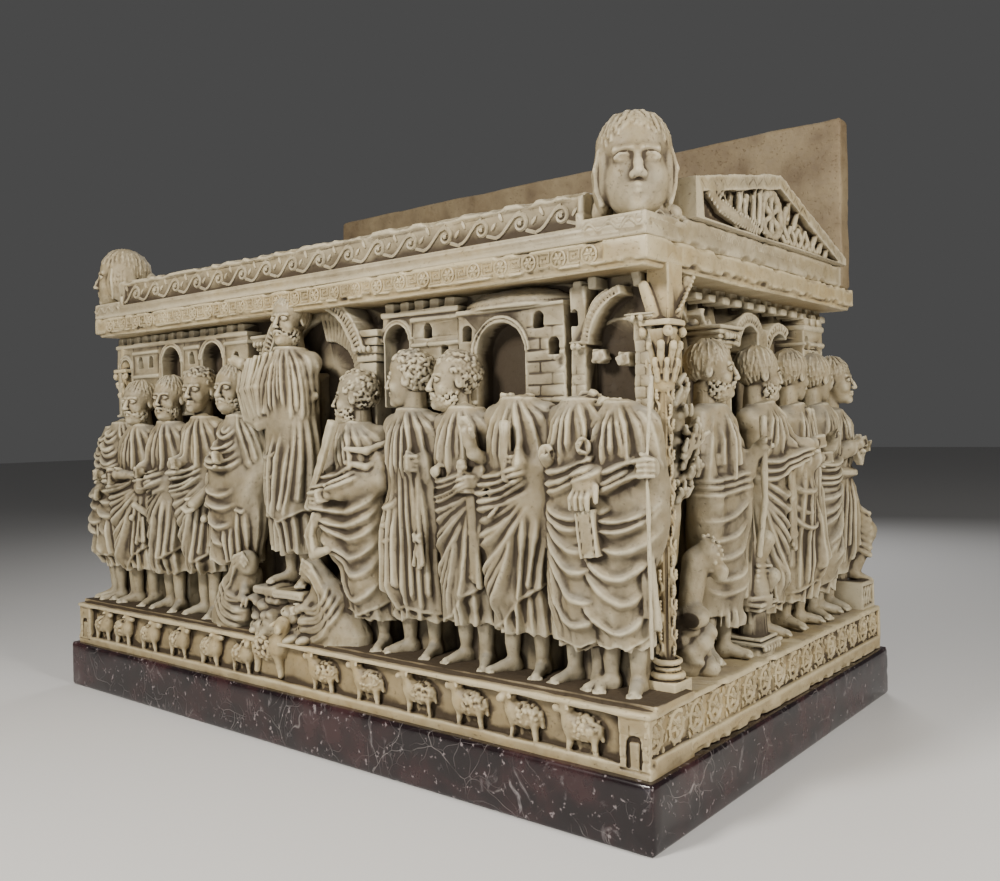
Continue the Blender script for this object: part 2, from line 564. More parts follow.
def fist(stone, x, y, z, side=1, size=0.88):
    """A hand closed round something upright: four fingers one above the other."""
    def at(along, forward, up):
        return (x + side * along * size, y - forward * size, z + up * size)

    stone.add(lump(at(0.018, -0.006, 0.0), (0.018 * size, 0.02 * size, 0.028 * size)), 0.008)
    for i in range(4):
        level = 0.0205 - 0.0138 * i
        line = (at(0.026, 0.012, level), at(0.012, 0.027, level + 0.001), at(-0.009, 0.027, level - 0.001),
                at(-0.019, 0.01, level - 0.002))
        stone.strand(line, [r * size for r in (0.0074, 0.0072, 0.0066, 0.0056)], 0.0008)
    stone.add(bone(at(0.018, 0.01, 0.02), at(-0.006, 0.02, 0.036), 0.0076 * size, 0.0062 * size), 0.002)


def stump(stone, start, end, radius, end_radius, blend=0.006):
    """A limb that is broken off: its end is ragged."""
    ahead = (Vector(end) - Vector(start)).normalized()
    stone.add(bone(start, end, radius, end_radius), blend)
    rng = np.random.default_rng(int(abs(start[0]) * 1000))
    for _ in range(9):
        spot = Vector(end) + ahead * end_radius * 0.85 + Vector(rng.uniform(-1.1, 1.1, 3)) * end_radius
        half = end_radius * rng.uniform(0.4, 0.7)
        stone.cut(block([c - half for c in spot], [c + half for c in spot], 0.001,
                        rng.uniform(0.0, 1.5)), 0.0015)


def hand(stone, wrist, toward, curl=0.4, spread=0.0095, size=1.0):
    """A palm, four fingers and a thumb, from the wrist along `toward`."""
    wrist, toward = Vector(wrist), Vector(toward).normalized()
    across = toward.cross(Vector((0, -1, 0)))
    if across.length < 0.2:
        across = Vector((1, 0, 0))
    across.normalize()
    inward = across.cross(toward).normalized()
    palm = wrist + toward * 0.02 * size
    stone.add(bone(wrist - toward * 0.008, palm, 0.0165 * size, 0.0185 * size), 0.008)
    for place in (-1.5, -0.5, 0.5, 1.5):
        knuckle = palm + across * place * spread * size + toward * 0.012 * size
        joint = knuckle + (toward * (1 - 0.5 * curl) + inward * curl * 0.8) * 0.02 * size
        tip = joint + (toward * (1 - 1.3 * curl) + inward * curl) * 0.016 * size
        stone.strand((knuckle, joint, tip), (0.0068 * size, 0.0062 * size, 0.0052 * size), 0.003)
    thumb = wrist + across * 0.018 * size + toward * 0.006 * size
    tip = thumb + (toward * 0.7 + across * 0.3 + inward * 0.6) * 0.026 * size
    stone.add(bone(thumb, tip, 0.0075 * size, 0.0058 * size), 0.004)


def hanging(stone, top, length, count=4, spread=0.013, radius=0.0095, sway=0.0):
    """A tail of cloth: pleats side by side, stepped at the lower end."""
    x, y, z = top
    for i in range(count):
        side = (i - (count - 1) / 2) * spread
        drop = length * (1 - 0.09 * abs(i - count * 0.6))
        middle = (x + side * 0.8 + sway * 0.5, y - 0.004 * (i % 2), z - drop * 0.5)
        end = (x + side * 1.25 + sway, y + 0.003, z - drop)
        stone.strand(((x + side * 0.5, y, z), middle, end), (radius * 0.8, radius, radius * 1.05), 0.004)


def foot(stone, x, y, turn, ground):
    """A bare foot under the ankle at x, y: heel, instep and toes."""
    forward = (math.sin(turn), -math.cos(turn))
    toe = (x + 0.066 * forward[0], y + 0.066 * forward[1], ground + 0.01)
    stone.add(lump((x, y + 0.004, ground + 0.016), (0.02, 0.024, 0.021)), 0.012)
    stone.add(bone((x, y, ground + 0.026), toe, 0.019, 0.0135), 0.012)
    for i in range(5):
        side = (i - 2) * 0.0066
        spot = (toe[0] - forward[1] * side, toe[1] + forward[0] * side)
        stone.add(bone((spot[0], spot[1], ground + 0.01),
                       (spot[0] + (0.012 - 0.0015 * abs(i - 1)) * forward[0],
                        spot[1] + (0.012 - 0.0015 * abs(i - 1)) * forward[1], ground + 0.007), 0.0054,
                       0.0048))


def wrap(stone, sheet, levels, middles, middle_y, turn=0.0, side=1):
    """Lays a sheet of folds round a body: the stone's surface rises by the cloth's height."""
    field = stone.field
    near = np.nonzero((field < 0.045) & (field > -0.03))
    spot = [stone.low[i] + stone.step * near[i] for i in range(3)]
    middle = np.interp(spot[2], levels, middles)
    angle = np.arctan2(spot[0] - middle, -(spot[1] - middle_y)) - turn
    rise = sheet.height_at(WRAP * angle, spot[2])
    front = np.clip(1.45 - np.abs(angle) / np.where(angle * side < 0, 1.25, 1.5), 0, 1)
    field[near] -= (rise * front - 0.004).astype(np.float32)


def figure(parent, x, seed, shoulder=SHOULDER, hem=0.44, lean=0.0, wide=1.0, turn=0.0, cloth=orator_cloth,
           side=1, free=1, ground=GROUND, middle_y=-OUT, arms=(), extras=None, deep=1.0):
    """One draped standing figure without its head. `free` is the side of the bent knee."""
    tall = shoulder - ground

    def at_share(w):
        return ground + w * tall

    reach = 0.2 * wide + 0.02
    low = (min(x, x + lean) - reach, -0.235, ground - 0.03)
    high = (max(x, x + lean) + reach, 0.03, shoulder + 0.06)
    stone = parent.piece_of(low, high)
    levels = ground + LEVELS * tall
    levels[0] = hem
    lean_at = np.interp(levels, (ground, at_share(0.5), shoulder), (0, lean * 0.35, lean))
    middles = x + lean_at
    widths = WIDTHS * wide
    depths = DEPTHS * deep

    def centre(w):
        return float(np.interp(at_share(w), levels, middles))

    stone.add(upright(levels, middles, middle_y, widths, depths, turn))
    neck_y = middle_y + 0.004
    for sign in (-1, 1):
        stone.add(bone((centre(1.0), neck_y, at_share(0.962)),
                       (centre(0.93) + sign * 0.074 * wide, neck_y, at_share(0.942)), 0.036, 0.036), 0.02)
    # The bent leg pushes the cloth forward.
    knee = (centre(0.3) + free * 0.034 * wide, middle_y - 0.04, at_share(0.31))
    hip = (centre(0.55) + free * 0.03 * wide, middle_y - 0.01, at_share(0.58))
    ankle = (x + free * 0.042 * wide, middle_y - 0.006, at_share(0.055))
    stone.add(bone(hip, knee, 0.05, 0.037), 0.035)
    shin = [k + (a - k) * 0.62 for k, a in zip(knee, ankle)]
    if shin[2] > hem:
        stone.add(bone(knee, shin, 0.036, 0.032), 0.03)
    for sign, elbow, wrist, kind in arms:
        joint = (centre(0.93) + sign * 0.08 * wide, middle_y, at_share(0.915))
        elbow = (x + elbow[0], elbow[1], at_share(elbow[2]))
        wrist = (x + wrist[0], wrist[1], at_share(wrist[2]))
        stone.add(bone(joint, elbow, 0.035, 0.028), 0.01)
        if kind != "bare":
            part = 0.75 if kind == "sleeve" else 0.9
            end = [e + (w - e) * part for e, w in zip(elbow, wrist)]
            stone.add(bone(elbow, end, 0.026, 0.021), 0.018)
        if kind in ("cloth", "fist", "veiled"):
            # The mantle falls from the forearm, so there is cloth all the way down.
            top = [e + (w - e) * 0.35 for e, w in zip(elbow, wrist)]
            stone.add(lump((x + (top[0] - x) * 0.8, (middle_y + top[1]) / 2, top[2] - 0.085),
                           (0.05, 0.052, 0.125)), 0.03)

    sheet = Cloth(hem, shoulder, seed, lambda u, w: (side * u, at_share(w)))
    cloth(sheet)
    wrap(stone, sheet, levels, middles, middle_y, turn, side)
    # Nothing of the cloth hangs below the hem, and it is hollow underneath.
    field = stone.field
    along = stone.low[0] + stone.step * np.arange(field.shape[0])
    uneven = hem + 0.005 * np.sin(along * 97 + seed) + 0.004 * np.sin(along * 61 + 2 * seed)
    heights = stone.low[2] + stone.step * np.arange(field.shape[2])
    np.maximum(field, (uneven[:, None, None] - heights[None, None, :]).astype(np.float32), out=field)
    hollow = upright((hem - 0.03, hem + 0.035), (middles[0], middles[1]), middle_y,
                     (widths[0] * 0.84,) * 2, (depths[0] * 0.8,) * 2)
    stone.cut(hollow, 0.01)

    still = (x - free * 0.036 * wide, middle_y + 0.008, at_share(0.055))
    for spot_x, (ax, ay, az), out in ((free, ankle, 0.55), (-free, still, 0.35)):
        top = (ax, ay - 0.004, max(hem + 0.03, az + 0.05))
        stone.add(bone(top, (ax, ay, az), 0.0255, 0.0165), 0.006)
        foot(stone, ax, ay, spot_x * out + turn * 0.7, ground)
    for sign, elbow, wrist, kind in arms:
        elbow = Vector((x + elbow[0], elbow[1], at_share(elbow[2])))
        wrist = Vector((x + wrist[0], wrist[1], at_share(wrist[2])))
        toward = (wrist - elbow).normalized()
        if kind in ("bare", "sleeve"):
            stone.add(bone(elbow, wrist, 0.024, 0.0165), 0.004)
        if kind == "sleeve":
            cuff = elbow + (wrist - elbow) * 0.72
            stone.add(bone(elbow, cuff, 0.03, 0.028), 0.004)
        if kind == "veiled":
            stone.add(bone(elbow, wrist, 0.027, 0.019), 0.012)
        elif kind == "fist":
            fist(stone, *wrist, sign)
        else:
            hand(stone, wrist, toward)
    if extras:
        extras(stone, x, at_share)
    web = block((x - 0.052 * wide, middle_y + 0.02, ground - 0.02), (x + lean * 0.5 + 0.052 * wide, 0.03,
                at_share(0.9)), 0.01)
    stone.add(web, 0.012)
    return stone


def set_figures(stone, rows):
    """Carves the figures of one side together, then joins them from the last to the first."""
    with ThreadPoolExecutor(4) as pool:
        bodies = list(pool.map(lambda row: figure(stone, **row), rows))
    for body in bodies[::-1]:
        stone.join(body)


# %% [markdown]
# ## Heads
# Every head is built on the same calm, even proportions, in units of its own height: eyes
# half way up, the base of the nose at a third, and a mouth between nose and chin. Hair is
# what tells them apart. Curls are balls spread evenly over the skull, each drilled in the
# middle as a running drill leaves it. Locks are combed forward from the crown to a fringe.

# %% Heads
HEAD = 0.155


def face(stone):
    stone.add(lump((0, 0.04, 0.62), (0.335, 0.4, 0.365)))
    stone.add(lump((0, -0.1, 0.4), (0.265, 0.28, 0.38)), 0.08)
    stone.add(lump((0, -0.2, 0.13), (0.165, 0.17, 0.12)), 0.1)
    stone.add(bone((0, 0.08, 0.2), (0, 0.1, -0.3), 0.2, 0.215), 0.05)
    for sign in (-1, 1):
        stone.add(lump((sign * 0.155, -0.245, 0.345), (0.1, 0.09, 0.1)), 0.07)
        stone.add(bone((sign * 0.19, -0.3, 0.585), (sign * 0.045, -0.365, 0.58), 0.032), 0.035)
        stone.cut(lump((sign * 0.13, -0.415, 0.512), (0.092, 0.085, 0.056)), 0.04)
        stone.add(lump((sign * 0.13, -0.318, 0.5), (0.07, 0.055, 0.045)), 0.006)
        upper = [(sign * (0.13 + s * 0.075), -0.372 + 0.035 * s * s, 0.505 + 0.036 * (1 - s * s))
                 for s in (-1, -0.4, 0.4, 1)]
        lower = [(sx, sy + 0.006, 0.505 - 0.75 * (sz - 0.505)) for sx, sy, sz in upper]
        for line, thick in ((upper, 0.014), (lower, 0.01)):
            stone.strand(line, (thick,) * 4, 0.006)
        stone.cut(lump((sign * 0.128, -0.378, 0.508), (0.014, 0.016, 0.014)))
        stone.add(lump((sign * 0.042, -0.435, 0.33), (0.032, 0.04, 0.03)), 0.02)
        stone.add(lump((sign * 0.325, 0.02, 0.46), (0.04, 0.075, 0.115)), 0.03)
        stone.cut(lump((sign * 0.365, -0.005, 0.47), (0.018, 0.035, 0.06)), 0.02)
    stone.strand(((0, -0.362, 0.57), (0, -0.432, 0.43), (0, -0.47, 0.345)), (0.026, 0.032, 0.04), 0.03)
    for z, thick, forward in ((0.236, 0.02, 0.0), (0.186, 0.025, 0.008)):
        line = ((-0.082, -0.352, z - 0.006), (0, -0.402 + forward, z), (0.082, -0.352, z - 0.006))
        stone.strand(line, (thick * 0.6, thick, thick * 0.6), 0.022)
    for form in chain(((-0.085, -0.386, 0.208), (0, -0.432, 0.212), (0.085, -0.386, 0.208)), (0.008,) * 3):
        stone.cut(form, 0.008)
    stone.add(lump((0, -0.325, 0.065), (0.085, 0.075, 0.07)), 0.06)


def even_points(count):
    """Directions spread evenly over a ball."""
    golden = math.pi * (3 - math.sqrt(5))
    for i in range(count):
        z = 1 - 2 * (i + 0.5) / count
        flat = math.sqrt(1 - z * z)
        yield Vector((flat * math.cos(golden * i), flat * math.sin(golden * i), z))


def curl(stone, rng, middle, outward, size):
    """A short comma of hair that hooks round a drilled hole."""
    way = rng.uniform(0, 2 * math.pi)
    across = outward.orthogonal().normalized()
    along = outward.cross(across)

    def spot(turn, far):
        return middle + size * far * (math.cos(way + turn) * across + math.sin(way + turn) * along)

    line = (spot(0.0, 0.75), spot(1.3, 0.62), spot(2.6, 0.55), spot(4.0, 0.4))
    stone.strand(line, (size * 0.4, size * 0.54, size * 0.52, size * 0.34), 0.007)
    if rng.random() < 0.4:
        hole = middle - size * 0.15 * (math.cos(way + 2) * across + math.sin(way + 2) * along)
        stone.cut(bone(hole + outward * size, hole + outward * size * 0.25, size * 0.2, size * 0.14), 0.006)


def curly_hair(stone, rng, size=0.066, count=170):
    stone.add(lump((0, 0.06, 0.64), (0.356, 0.415, 0.378)), 0.02)
    for way in even_points(count):
        spot = Vector((0.35 * way.x, 0.06 + 0.41 * way.y, 0.62 + 0.388 * way.z))
        over = spot.z > 0.8 or (spot.y > -0.13 and spot.z > 0.55) or (spot.y > 0.06 and spot.z > 0.16)
        if over:
            shift = Vector(rng.uniform(-0.016, 0.016, 3))
            curl(stone, rng, spot + shift, way, size * rng.uniform(0.75, 1.15))


def comb_hair(stone, rng, count=34, low=0.26, fringe=0.8, swell=1.0):
    """Short locks in rings from the crown, the last of them in commas above the brow and at the neck."""
    stone.add(lump((0, 0.06, 0.64), (0.352 * swell, 0.414 * swell, 0.388 * swell)), 0.02)
    rings = ((-0.02, 0.34), (0.18, 0.52), (0.38, 0.7), (0.55, 0.86), (0.74, 1.0))
    for ring, (start, reach) in enumerate(rings):
        around = int(count * (0.4, 0.7, 0.9, 1.0, 1.0)[ring])
        for i in range(around):
            way = 2 * math.pi * (i + 0.5 * (ring % 2) + rng.uniform(-0.2, 0.2)) / around - math.pi / 2
            front = math.cos(way + math.pi / 2)          # 1 over the brow, -1 at the nape
            end_z = fringe - (fringe - low) * (0.5 - 0.5 * front) ** 0.7
            end = reach + rng.uniform(-0.04, 0.04) * (reach < 1)
            points = []
            for t in (start, (start + end) / 2, end):
                z = 1.02 - (1.02 - end_z) * t
                share = math.sqrt(max(0.02, 1 - ((z - 0.64) / 0.4) ** 2))
                bend = 0.1 * t * math.sin(3 * t + i)
                points.append((0.346 * swell * share * math.cos(way + bend),
                               0.06 + 0.406 * swell * share * math.sin(way + bend), z))
            hook = 1 if i % 2 else -1
            last = Vector(points[-1])
            points.append(tuple(last + Vector((0.026 * hook * abs(math.sin(way)), 0.006, -0.004))))
            stone.strand(points, (0.012, 0.021, 0.021, 0.011), 0.004)


def beard(stone, rng, size=0.046):
    stone.add(lump((0, -0.17, 0.1), (0.215, 0.19, 0.155)), 0.05)
    for way in even_points(150):
        spot = Vector((0.26 * way.x, -0.1 + 0.27 * way.y, 0.22 + 0.286 * way.z))
        low_face = spot.z < 0.36 and spot.y < 0.03
        mouth = abs(spot.x) < 0.115 and 0.13 < spot.z and spot.y < -0.2
        cheek = spot.z > 0.26 and abs(spot.x) < 0.19
        if low_face and not mouth and not cheek:
            curl(stone, rng, spot, way, size * rng.uniform(0.8, 1.15))
    for sign in (-1, 1):
        line = ((sign * 0.012, -0.425, 0.272), (sign * 0.075, -0.392, 0.245), (sign * 0.12, -0.335, 0.175))
        stone.strand(line, (0.018, 0.024, 0.016), 0.012)


def head(seed, hair, bearded):
    """The stone of a head of unit height, its chin at z = 0 and its face to -y."""
    rng = np.random.default_rng(seed)
    stone = Stone((-0.56, -0.62, -0.3), (0.56, 0.62, 1.16), HEAD_STEP / HEAD)
    face(stone)
    if hair == "curls":
        curly_hair(stone, rng)
    else:
        comb_hair(stone, rng)
    if bearded:
        beard(stone, rng)
    return stone

# %% [markdown]
# ## Gates and towers behind the figures
# The figures stand before city gates. Each gate is a low block on the wall with an arched
# doorway cut into it, an arch moulding round the doorway, small windows, string courses
# and a row of battlements under the top band.

# %% Gates and towers
GATE = 0.058                     # how far the gates stand out


def gate(stone, left, right, low, top=1.288, out=GATE, doors=(), windows=(), courses=(), merlons=True,
         pitch=0.062):
    """A gate block from `left` to `right`, with doors (x, radius, top) and windows (x, z)."""
    stone.add(block((left, -out, low), (right, 0.02, top), 0.003))
    for z in courses:
        stone.add(block((left - 0.004, -out - 0.007, z - 0.006), (right + 0.004, 0.02, z + 0.006), 0.003))
    if merlons:
        count = max(1, round((right - left) / pitch))
        for i in range(count):
            x = left + (i + 0.5) * (right - left) / count
            stone.add(block((x - 0.017, -out - 0.003, top - 0.004), (x + 0.017, 0.02, top + 0.03), 0.003))
        stone.add(block((left - 0.004, -out - 0.006, top - 0.012), (right + 0.004, 0.02, top + 0.004), 0.003))
    for x, radius, door_top in doors:
        spring = door_top - radius
        stone.cut(arch(x, spring, radius, low - 0.08, -0.2, 0.004))
        stone.add(hoop(x, spring, radius + 0.016, 0.006, -out - 0.006, 0.0), 0.001)
        stone.add(hoop(x, spring, radius + 0.006, 0.006, -out - 0.004, 0.0), 0.001)
    for x, z in windows:
        stone.cut(arch(x, z, 0.0165, z - 0.028, -0.2, 0.006))


def bricks(stone, left, right, low, top, out, course=0.03):
    """Shallow joints of squared stones."""
    rows = int((top - low) / course)
    for row in range(rows):
        z = low + row * course
        stone.cut(block((left, -out - 0.01, z - 0.0015), (right, -out + 0.0035, z + 0.0015)))
        middle = left + (right - left) * (0.35 if row % 2 else 0.68)
        stone.cut(block((middle - 0.0015, -out - 0.01, z), (middle + 0.0015, -out + 0.0035, z + course)))


# %% Small things held or worn
def scroll(stone, foot, top, radius=0.0145):
    stone.add(bone(foot, top, radius), 0.002)
    stone.cut(bone(top, [t + (t - f) * 0.2 for f, t in zip(foot, top)], radius * 0.45))


def neck_stub(stone, x, y, z, seed, lean=0.0):
    """What is left of a broken neck: a low jagged ridge over a rough hollow."""
    rng = np.random.default_rng(seed)
    for _ in range(6):
        spot = (x + lean + rng.uniform(-0.036, 0.036), y + rng.uniform(-0.02, 0.015),
                z + rng.uniform(0.0, 0.012))
        tilt = rng.uniform(-0.7, 0.7)
        stone.add(block([c - 0.01 for c in spot], [c + 0.011 for c in spot], 0.003, tilt), 0.004)
    stone.cut(lump((x + lean, y - 0.012, z + 0.022), (0.024, 0.02, 0.016)), 0.004)


# %% [markdown]
# ## The front
# Twelve figures flank a taller one who stands on a rock. The table below says where each
# body stands and how it leans, which way it turns, how its mantle hangs and what its
# hands do. Wrists and elbows are given from the middle of the body, out from the wall,
# and as a share of the height from ledge to shoulder.

# %% Extras of the front figures
def staff_extras(stone, x, at):
    line = ((x + 0.108, -0.126, at(1.22)), (x + 0.11, -0.15, at(1.0)), (x + 0.112, -0.172, at(0.79)),
            (x + 0.113, -0.165, at(0.45)), (x + 0.111, -0.16, at(0.16)))
    stone.strand(line, (0.0042, 0.0046, 0.0048, 0.0048, 0.0044), 0.002)
    hanging(stone, (x + 0.08, -0.128, at(0.72)), 0.34, 4, 0.012, 0.008, sway=0.006)
    neck_stub(stone, x - 0.006, -OUT, at(0.995), 3)


def codex_extras(stone, x, at):
    """A covered arm, and a hand that holds a codex by its upper edge."""
    low, high = (x + 0.052, -0.204, at(0.475)), (x + 0.104, -0.15, at(0.635))
    stone.cut(block((low[0] - 0.016, low[1] - 0.04, low[2] - 0.02),
                    (high[0] + 0.016, low[1] + 0.012, high[2] + 0.01), 0.01, 0.14), 0.02)
    stone.add(block(low, high, 0.003, 0.14))
    for side in (0.008, 0.042):
        stone.cut(block((low[0] + side, low[1] - 0.01, low[2] - 0.01),
                        (low[0] + side + 0.0025, low[1] + 0.006, high[2] + 0.01), 0.0, 0.14))
    wrist = (x + 0.07, -0.198, at(0.715))
    for i in range(4):
        line = ((wrist[0] - 0.02 + 0.0135 * i, -0.2, wrist[2] - 0.006),
                (wrist[0] - 0.024 + 0.0155 * i, -0.216, wrist[2] - 0.026),
                (wrist[0] - 0.026 + 0.016 * i, -0.214, wrist[2] - 0.052))
        stone.strand(line, (0.0078, 0.0074, 0.006), 0.001)
    stone.add(lump((wrist[0], -0.196, wrist[2] + 0.004), (0.03, 0.02, 0.022)), 0.006)
    stone.add(bone((wrist[0] + 0.03, -0.196, wrist[2]), (wrist[0] + 0.04, -0.206, wrist[2] - 0.034),
                   0.008, 0.0062), 0.002)
    stump(stone, (x + 0.04, -0.11, at(0.8)), (x + 0.058, -0.182, at(0.855)), 0.024, 0.019)
    stump(stone, (x - 0.066, -0.11, at(0.76)), (x - 0.052, -0.175, at(0.83)), 0.026, 0.02)
    neck_stub(stone, x + 0.002, -OUT, at(1.01), 4)
    stump(stone, (x + 0.062, -0.09, at(0.965)), (x + 0.078, -0.115, at(1.0)), 0.022, 0.016)


def scroll_extras(stone, x, at):
    scroll(stone, (x + 0.02, -0.196, at(0.73)), (x + 0.014, -0.196, at(0.915)), 0.0135)
    hanging(stone, (x + 0.085, -0.12, at(0.72)), 0.24, 4, 0.014, 0.01)
    stump(stone, (x - 0.076, -0.1, at(0.72)), (x - 0.074, -0.15, at(0.66)), 0.022, 0.019)
    neck_stub(stone, x - 0.01, -OUT, at(1.0), 6, -0.012)


def preacher_extras(stone, x, at):
    # A roll of cloth gathered in the low hand, the raised hand above it.
    hanging(stone, (x + 0.06, -0.172, at(0.72)), 0.27, 3, 0.012, 0.009, sway=0.008)
    for z, size in ((0.8, 0.014), (0.785, 0.017), (0.768, 0.012)):
        stone.add(lump((x + 0.044, -0.186, at(z)), (size, 0.013, 0.01)), 0.003)
    stone.strand(((x + 0.088, -0.128, at(0.8)), (x + 0.074, -0.172, at(0.835)),
                  (x + 0.066, -0.182, at(0.885))), (0.021, 0.018, 0.014), 0.006)
    hand(stone, (x + 0.066, -0.184, at(0.89)), (-0.12, -0.1, 1.0), curl=0.25, spread=0.0085, size=0.92)
    stump(stone, (x - 0.07, -0.11, at(0.72)), (x - 0.055, -0.172, at(0.765)), 0.026, 0.021)


def knot_extras(stone, x, at):
    hanging(stone, (x + 0.064, -0.172, at(0.77)), 0.26, 2, 0.011, 0.008, sway=0.004)
    for turn in (-0.7, 0.7):
        stone.add(lump((x + 0.066, -0.178, at(0.5)), (0.02, 0.012, 0.009), tilt=turn), 0.003)
    hanging(stone, (x + 0.062, -0.172, at(0.49)), 0.075, 2, 0.016, 0.006, sway=-0.008)


def bar_extras(stone, x, at):
    stone.add(block((x - 0.108, -0.214, at(0.6)), (x - 0.086, -0.192, at(1.03)), 0.003, -0.42), 0.002)
    line = ((x - 0.118, -0.192, at(0.6)), (x - 0.15, -0.2, at(0.52)), (x - 0.135, -0.2, at(0.42)),
            (x - 0.085, -0.196, at(0.44)))
    stone.strand(line, (0.016, 0.014, 0.014, 0.01), 0.008)
    for k in range(2):
        line = ((x - 0.128, -0.206, at(0.6)), (x - 0.158 + 0.02 * k, -0.21, at(0.5)),
                (x - 0.136 + 0.01 * k, -0.21, at(0.42)))
        stone.strand(line, (0.0055, 0.006, 0.005), 0.002)
    hanging(stone, (x + 0.082, -0.108, at(0.66)), 0.34, 4, 0.016, 0.012, sway=-0.01)
    for k, (z, dip) in enumerate(((0.93, 0.05), (0.87, 0.06), (0.82, 0.05))):
        line = ((x - 0.02, -0.176, at(z - 0.04)), (x + 0.05, -0.158, at(z - dip)), (x + 0.102, -0.1, at(z)))
        stone.strand(line, (0.006, 0.01, 0.008), 0.006)


def child(stone, x, low, tall, seed, turn=0.0):
    """A small figure that shows between two others, from the hips up."""
    stone.add(upright((low, low + 0.45 * tall, low + 0.68 * tall), (x, x, x), -0.118, (0.034, 0.032, 0.016),
                      (0.034, 0.032, 0.018), turn), 0.01)
    stone.add(lump((x, -0.135, low + 0.84 * tall), (0.03, 0.032, 0.037)), 0.006)
    rng = np.random.default_rng(seed)
    for way in even_points(34):
        if way.z > 0.1:
            stone.add(lump((x + 0.029 * way.x, -0.13 + 0.031 * way.y, low + 0.85 * tall + 0.036 * way.z),
                           (0.008, 0.008, 0.007)), 0.003)
    for sign in (-1, 1):
        elbow = (x + sign * 0.046, -0.135, low + 0.34 * tall)
        wrist = (x + sign * 0.012, -0.172, low + (0.3 + 0.22 * (sign > 0)) * tall)
        stone.add(bone((x + sign * 0.032, -0.125, low + 0.6 * tall), elbow, 0.016, 0.013), 0.006)
        stone.add(bone(elbow, wrist, 0.013, 0.01), 0.004)
        stone.add(lump(wrist, (0.012, 0.011, 0.012)), 0.003)
    for i in range(6):
        u = (i - 2.5) * 0.011
        stone.add(bone((x + u, -0.15, low + 0.3 * tall), (x + u * 1.3 + rng.uniform(-0.003, 0.003), -0.152,
                       low - 0.02), 0.005, 0.006), 0.003)


# %% The front figures
ARM_ACROSS = (1, (0.1, -0.1, 0.73), (0.026, -0.176, 0.775), "fist")
FRONT_FIGURES = (dict(x=1.114, seed=11, shoulder=1.0, hem=0.425, cloth=swag_cloth, free=-1, wide=0.84,
                      arms=((1, (0.088, -0.092, 0.74), (0.104, -0.158, 0.79), "fist"),
                            (-1, (-0.08, -0.09, 0.76), (-0.06, -0.13, 0.7), "veiled")),
                      extras=staff_extras),
                 dict(x=1.0, seed=12, shoulder=1.01, hem=0.415, cloth=swag_cloth, free=1, wide=1.05,
                      arms=((1, (0.105, -0.12, 0.77), (0.07, -0.186, 0.725), "veiled"),),
                      extras=codex_extras),
                 dict(x=0.822, seed=13, shoulder=1.02, hem=0.425, cloth=orator_cloth, free=-1,
                      lean=-0.015, wide=1.06,
                      arms=(ARM_ACROSS, (-1, (-0.11, -0.1, 0.72), (-0.06, -0.15, 0.64), "cloth")),
                      extras=scroll_extras),
                 dict(x=0.642, seed=14, shoulder=1.0, hem=0.43, cloth=orator_cloth, free=1, lean=-0.02,
                      wide=1.06, arms=((1, (0.1, -0.105, 0.74), (0.052, -0.168, 0.72), "fist"),),
                      extras=preacher_extras),
                 dict(x=0.448, seed=15, shoulder=1.0, hem=0.42, cloth=long_cloth, free=-1, lean=-0.02,
                      wide=1.04, turn=-0.1,
                      arms=((1, (0.098, -0.105, 0.74), (0.05, -0.172, 0.795), "fist"),),
                      extras=knot_extras),
                 dict(x=0.25, seed=16, shoulder=0.97, hem=0.4, cloth=swag_cloth, free=1, lean=-0.06,
                      wide=1.15, turn=-0.2,
                      arms=((1, (0.078, -0.128, 0.75), (-0.045, -0.192, 0.7), "cloth"),
                            (-1, (-0.105, -0.15, 0.74), (-0.12, -0.19, 0.66), "fist")),
                      extras=bar_extras),
                 dict(x=-0.372, seed=17, shoulder=0.998, hem=0.52, cloth=sling_cloth, free=-1, wide=1.0,
                      arms=((-1, (-0.105, -0.11, 0.76), (-0.01, -0.18, 0.8), "cloth"),
                            (1, (0.105, -0.09, 0.74), (0.085, -0.13, 0.62), "cloth"))),
                 dict(x=-0.575, seed=18, shoulder=0.998, hem=0.47, cloth=orator_cloth, free=1,
                      wide=1.04, arms=((-1, (-0.105, -0.11, 0.72), (-0.03, -0.185, 0.765), "cloth"),
                                       (1, (0.11, -0.115, 0.7), (0.075, -0.18, 0.6), "bare"))),
                 dict(x=-0.785, seed=19, shoulder=0.985, hem=0.45, cloth=orator_cloth, free=1,
                      wide=1.04, arms=((-1, (-0.11, -0.11, 0.72), (-0.04, -0.19, 0.74), "sleeve"),
                                       (1, (0.105, -0.115, 0.7), (0.03, -0.185, 0.69), "cloth"))),
                 dict(x=-0.975, seed=20, shoulder=0.975, hem=0.45, cloth=orator_cloth, free=-1,
                      wide=1.02, arms=((-1, (-0.11, -0.11, 0.72), (-0.035, -0.188, 0.72), "cloth"),
                                       (1, (0.105, -0.115, 0.72), (0.02, -0.19, 0.74), "bare"))),
                 dict(x=-1.095, seed=21, shoulder=0.985, hem=0.45, cloth=sling_cloth, free=-1,
                      wide=0.95, arms=((-1, (-0.1, -0.11, 0.7), (-0.02, -0.185, 0.72), "bare"),)),
                 dict(x=-1.172, seed=22, shoulder=0.97, hem=0.455, cloth=sling_cloth, free=-1,
                      wide=0.62, middle_y=-0.08,
                      arms=((-1, (-0.045, -0.1, 0.66), (0.02, -0.16, 0.64), "cloth"),)), )
CENTRE = dict(x=-0.085, seed=30, ground=0.468, shoulder=1.205, hem=0.572, cloth=teacher_cloth, free=1,
              wide=1.18, lean=-0.012, side=1, deep=1.12, middle_y=-0.098)
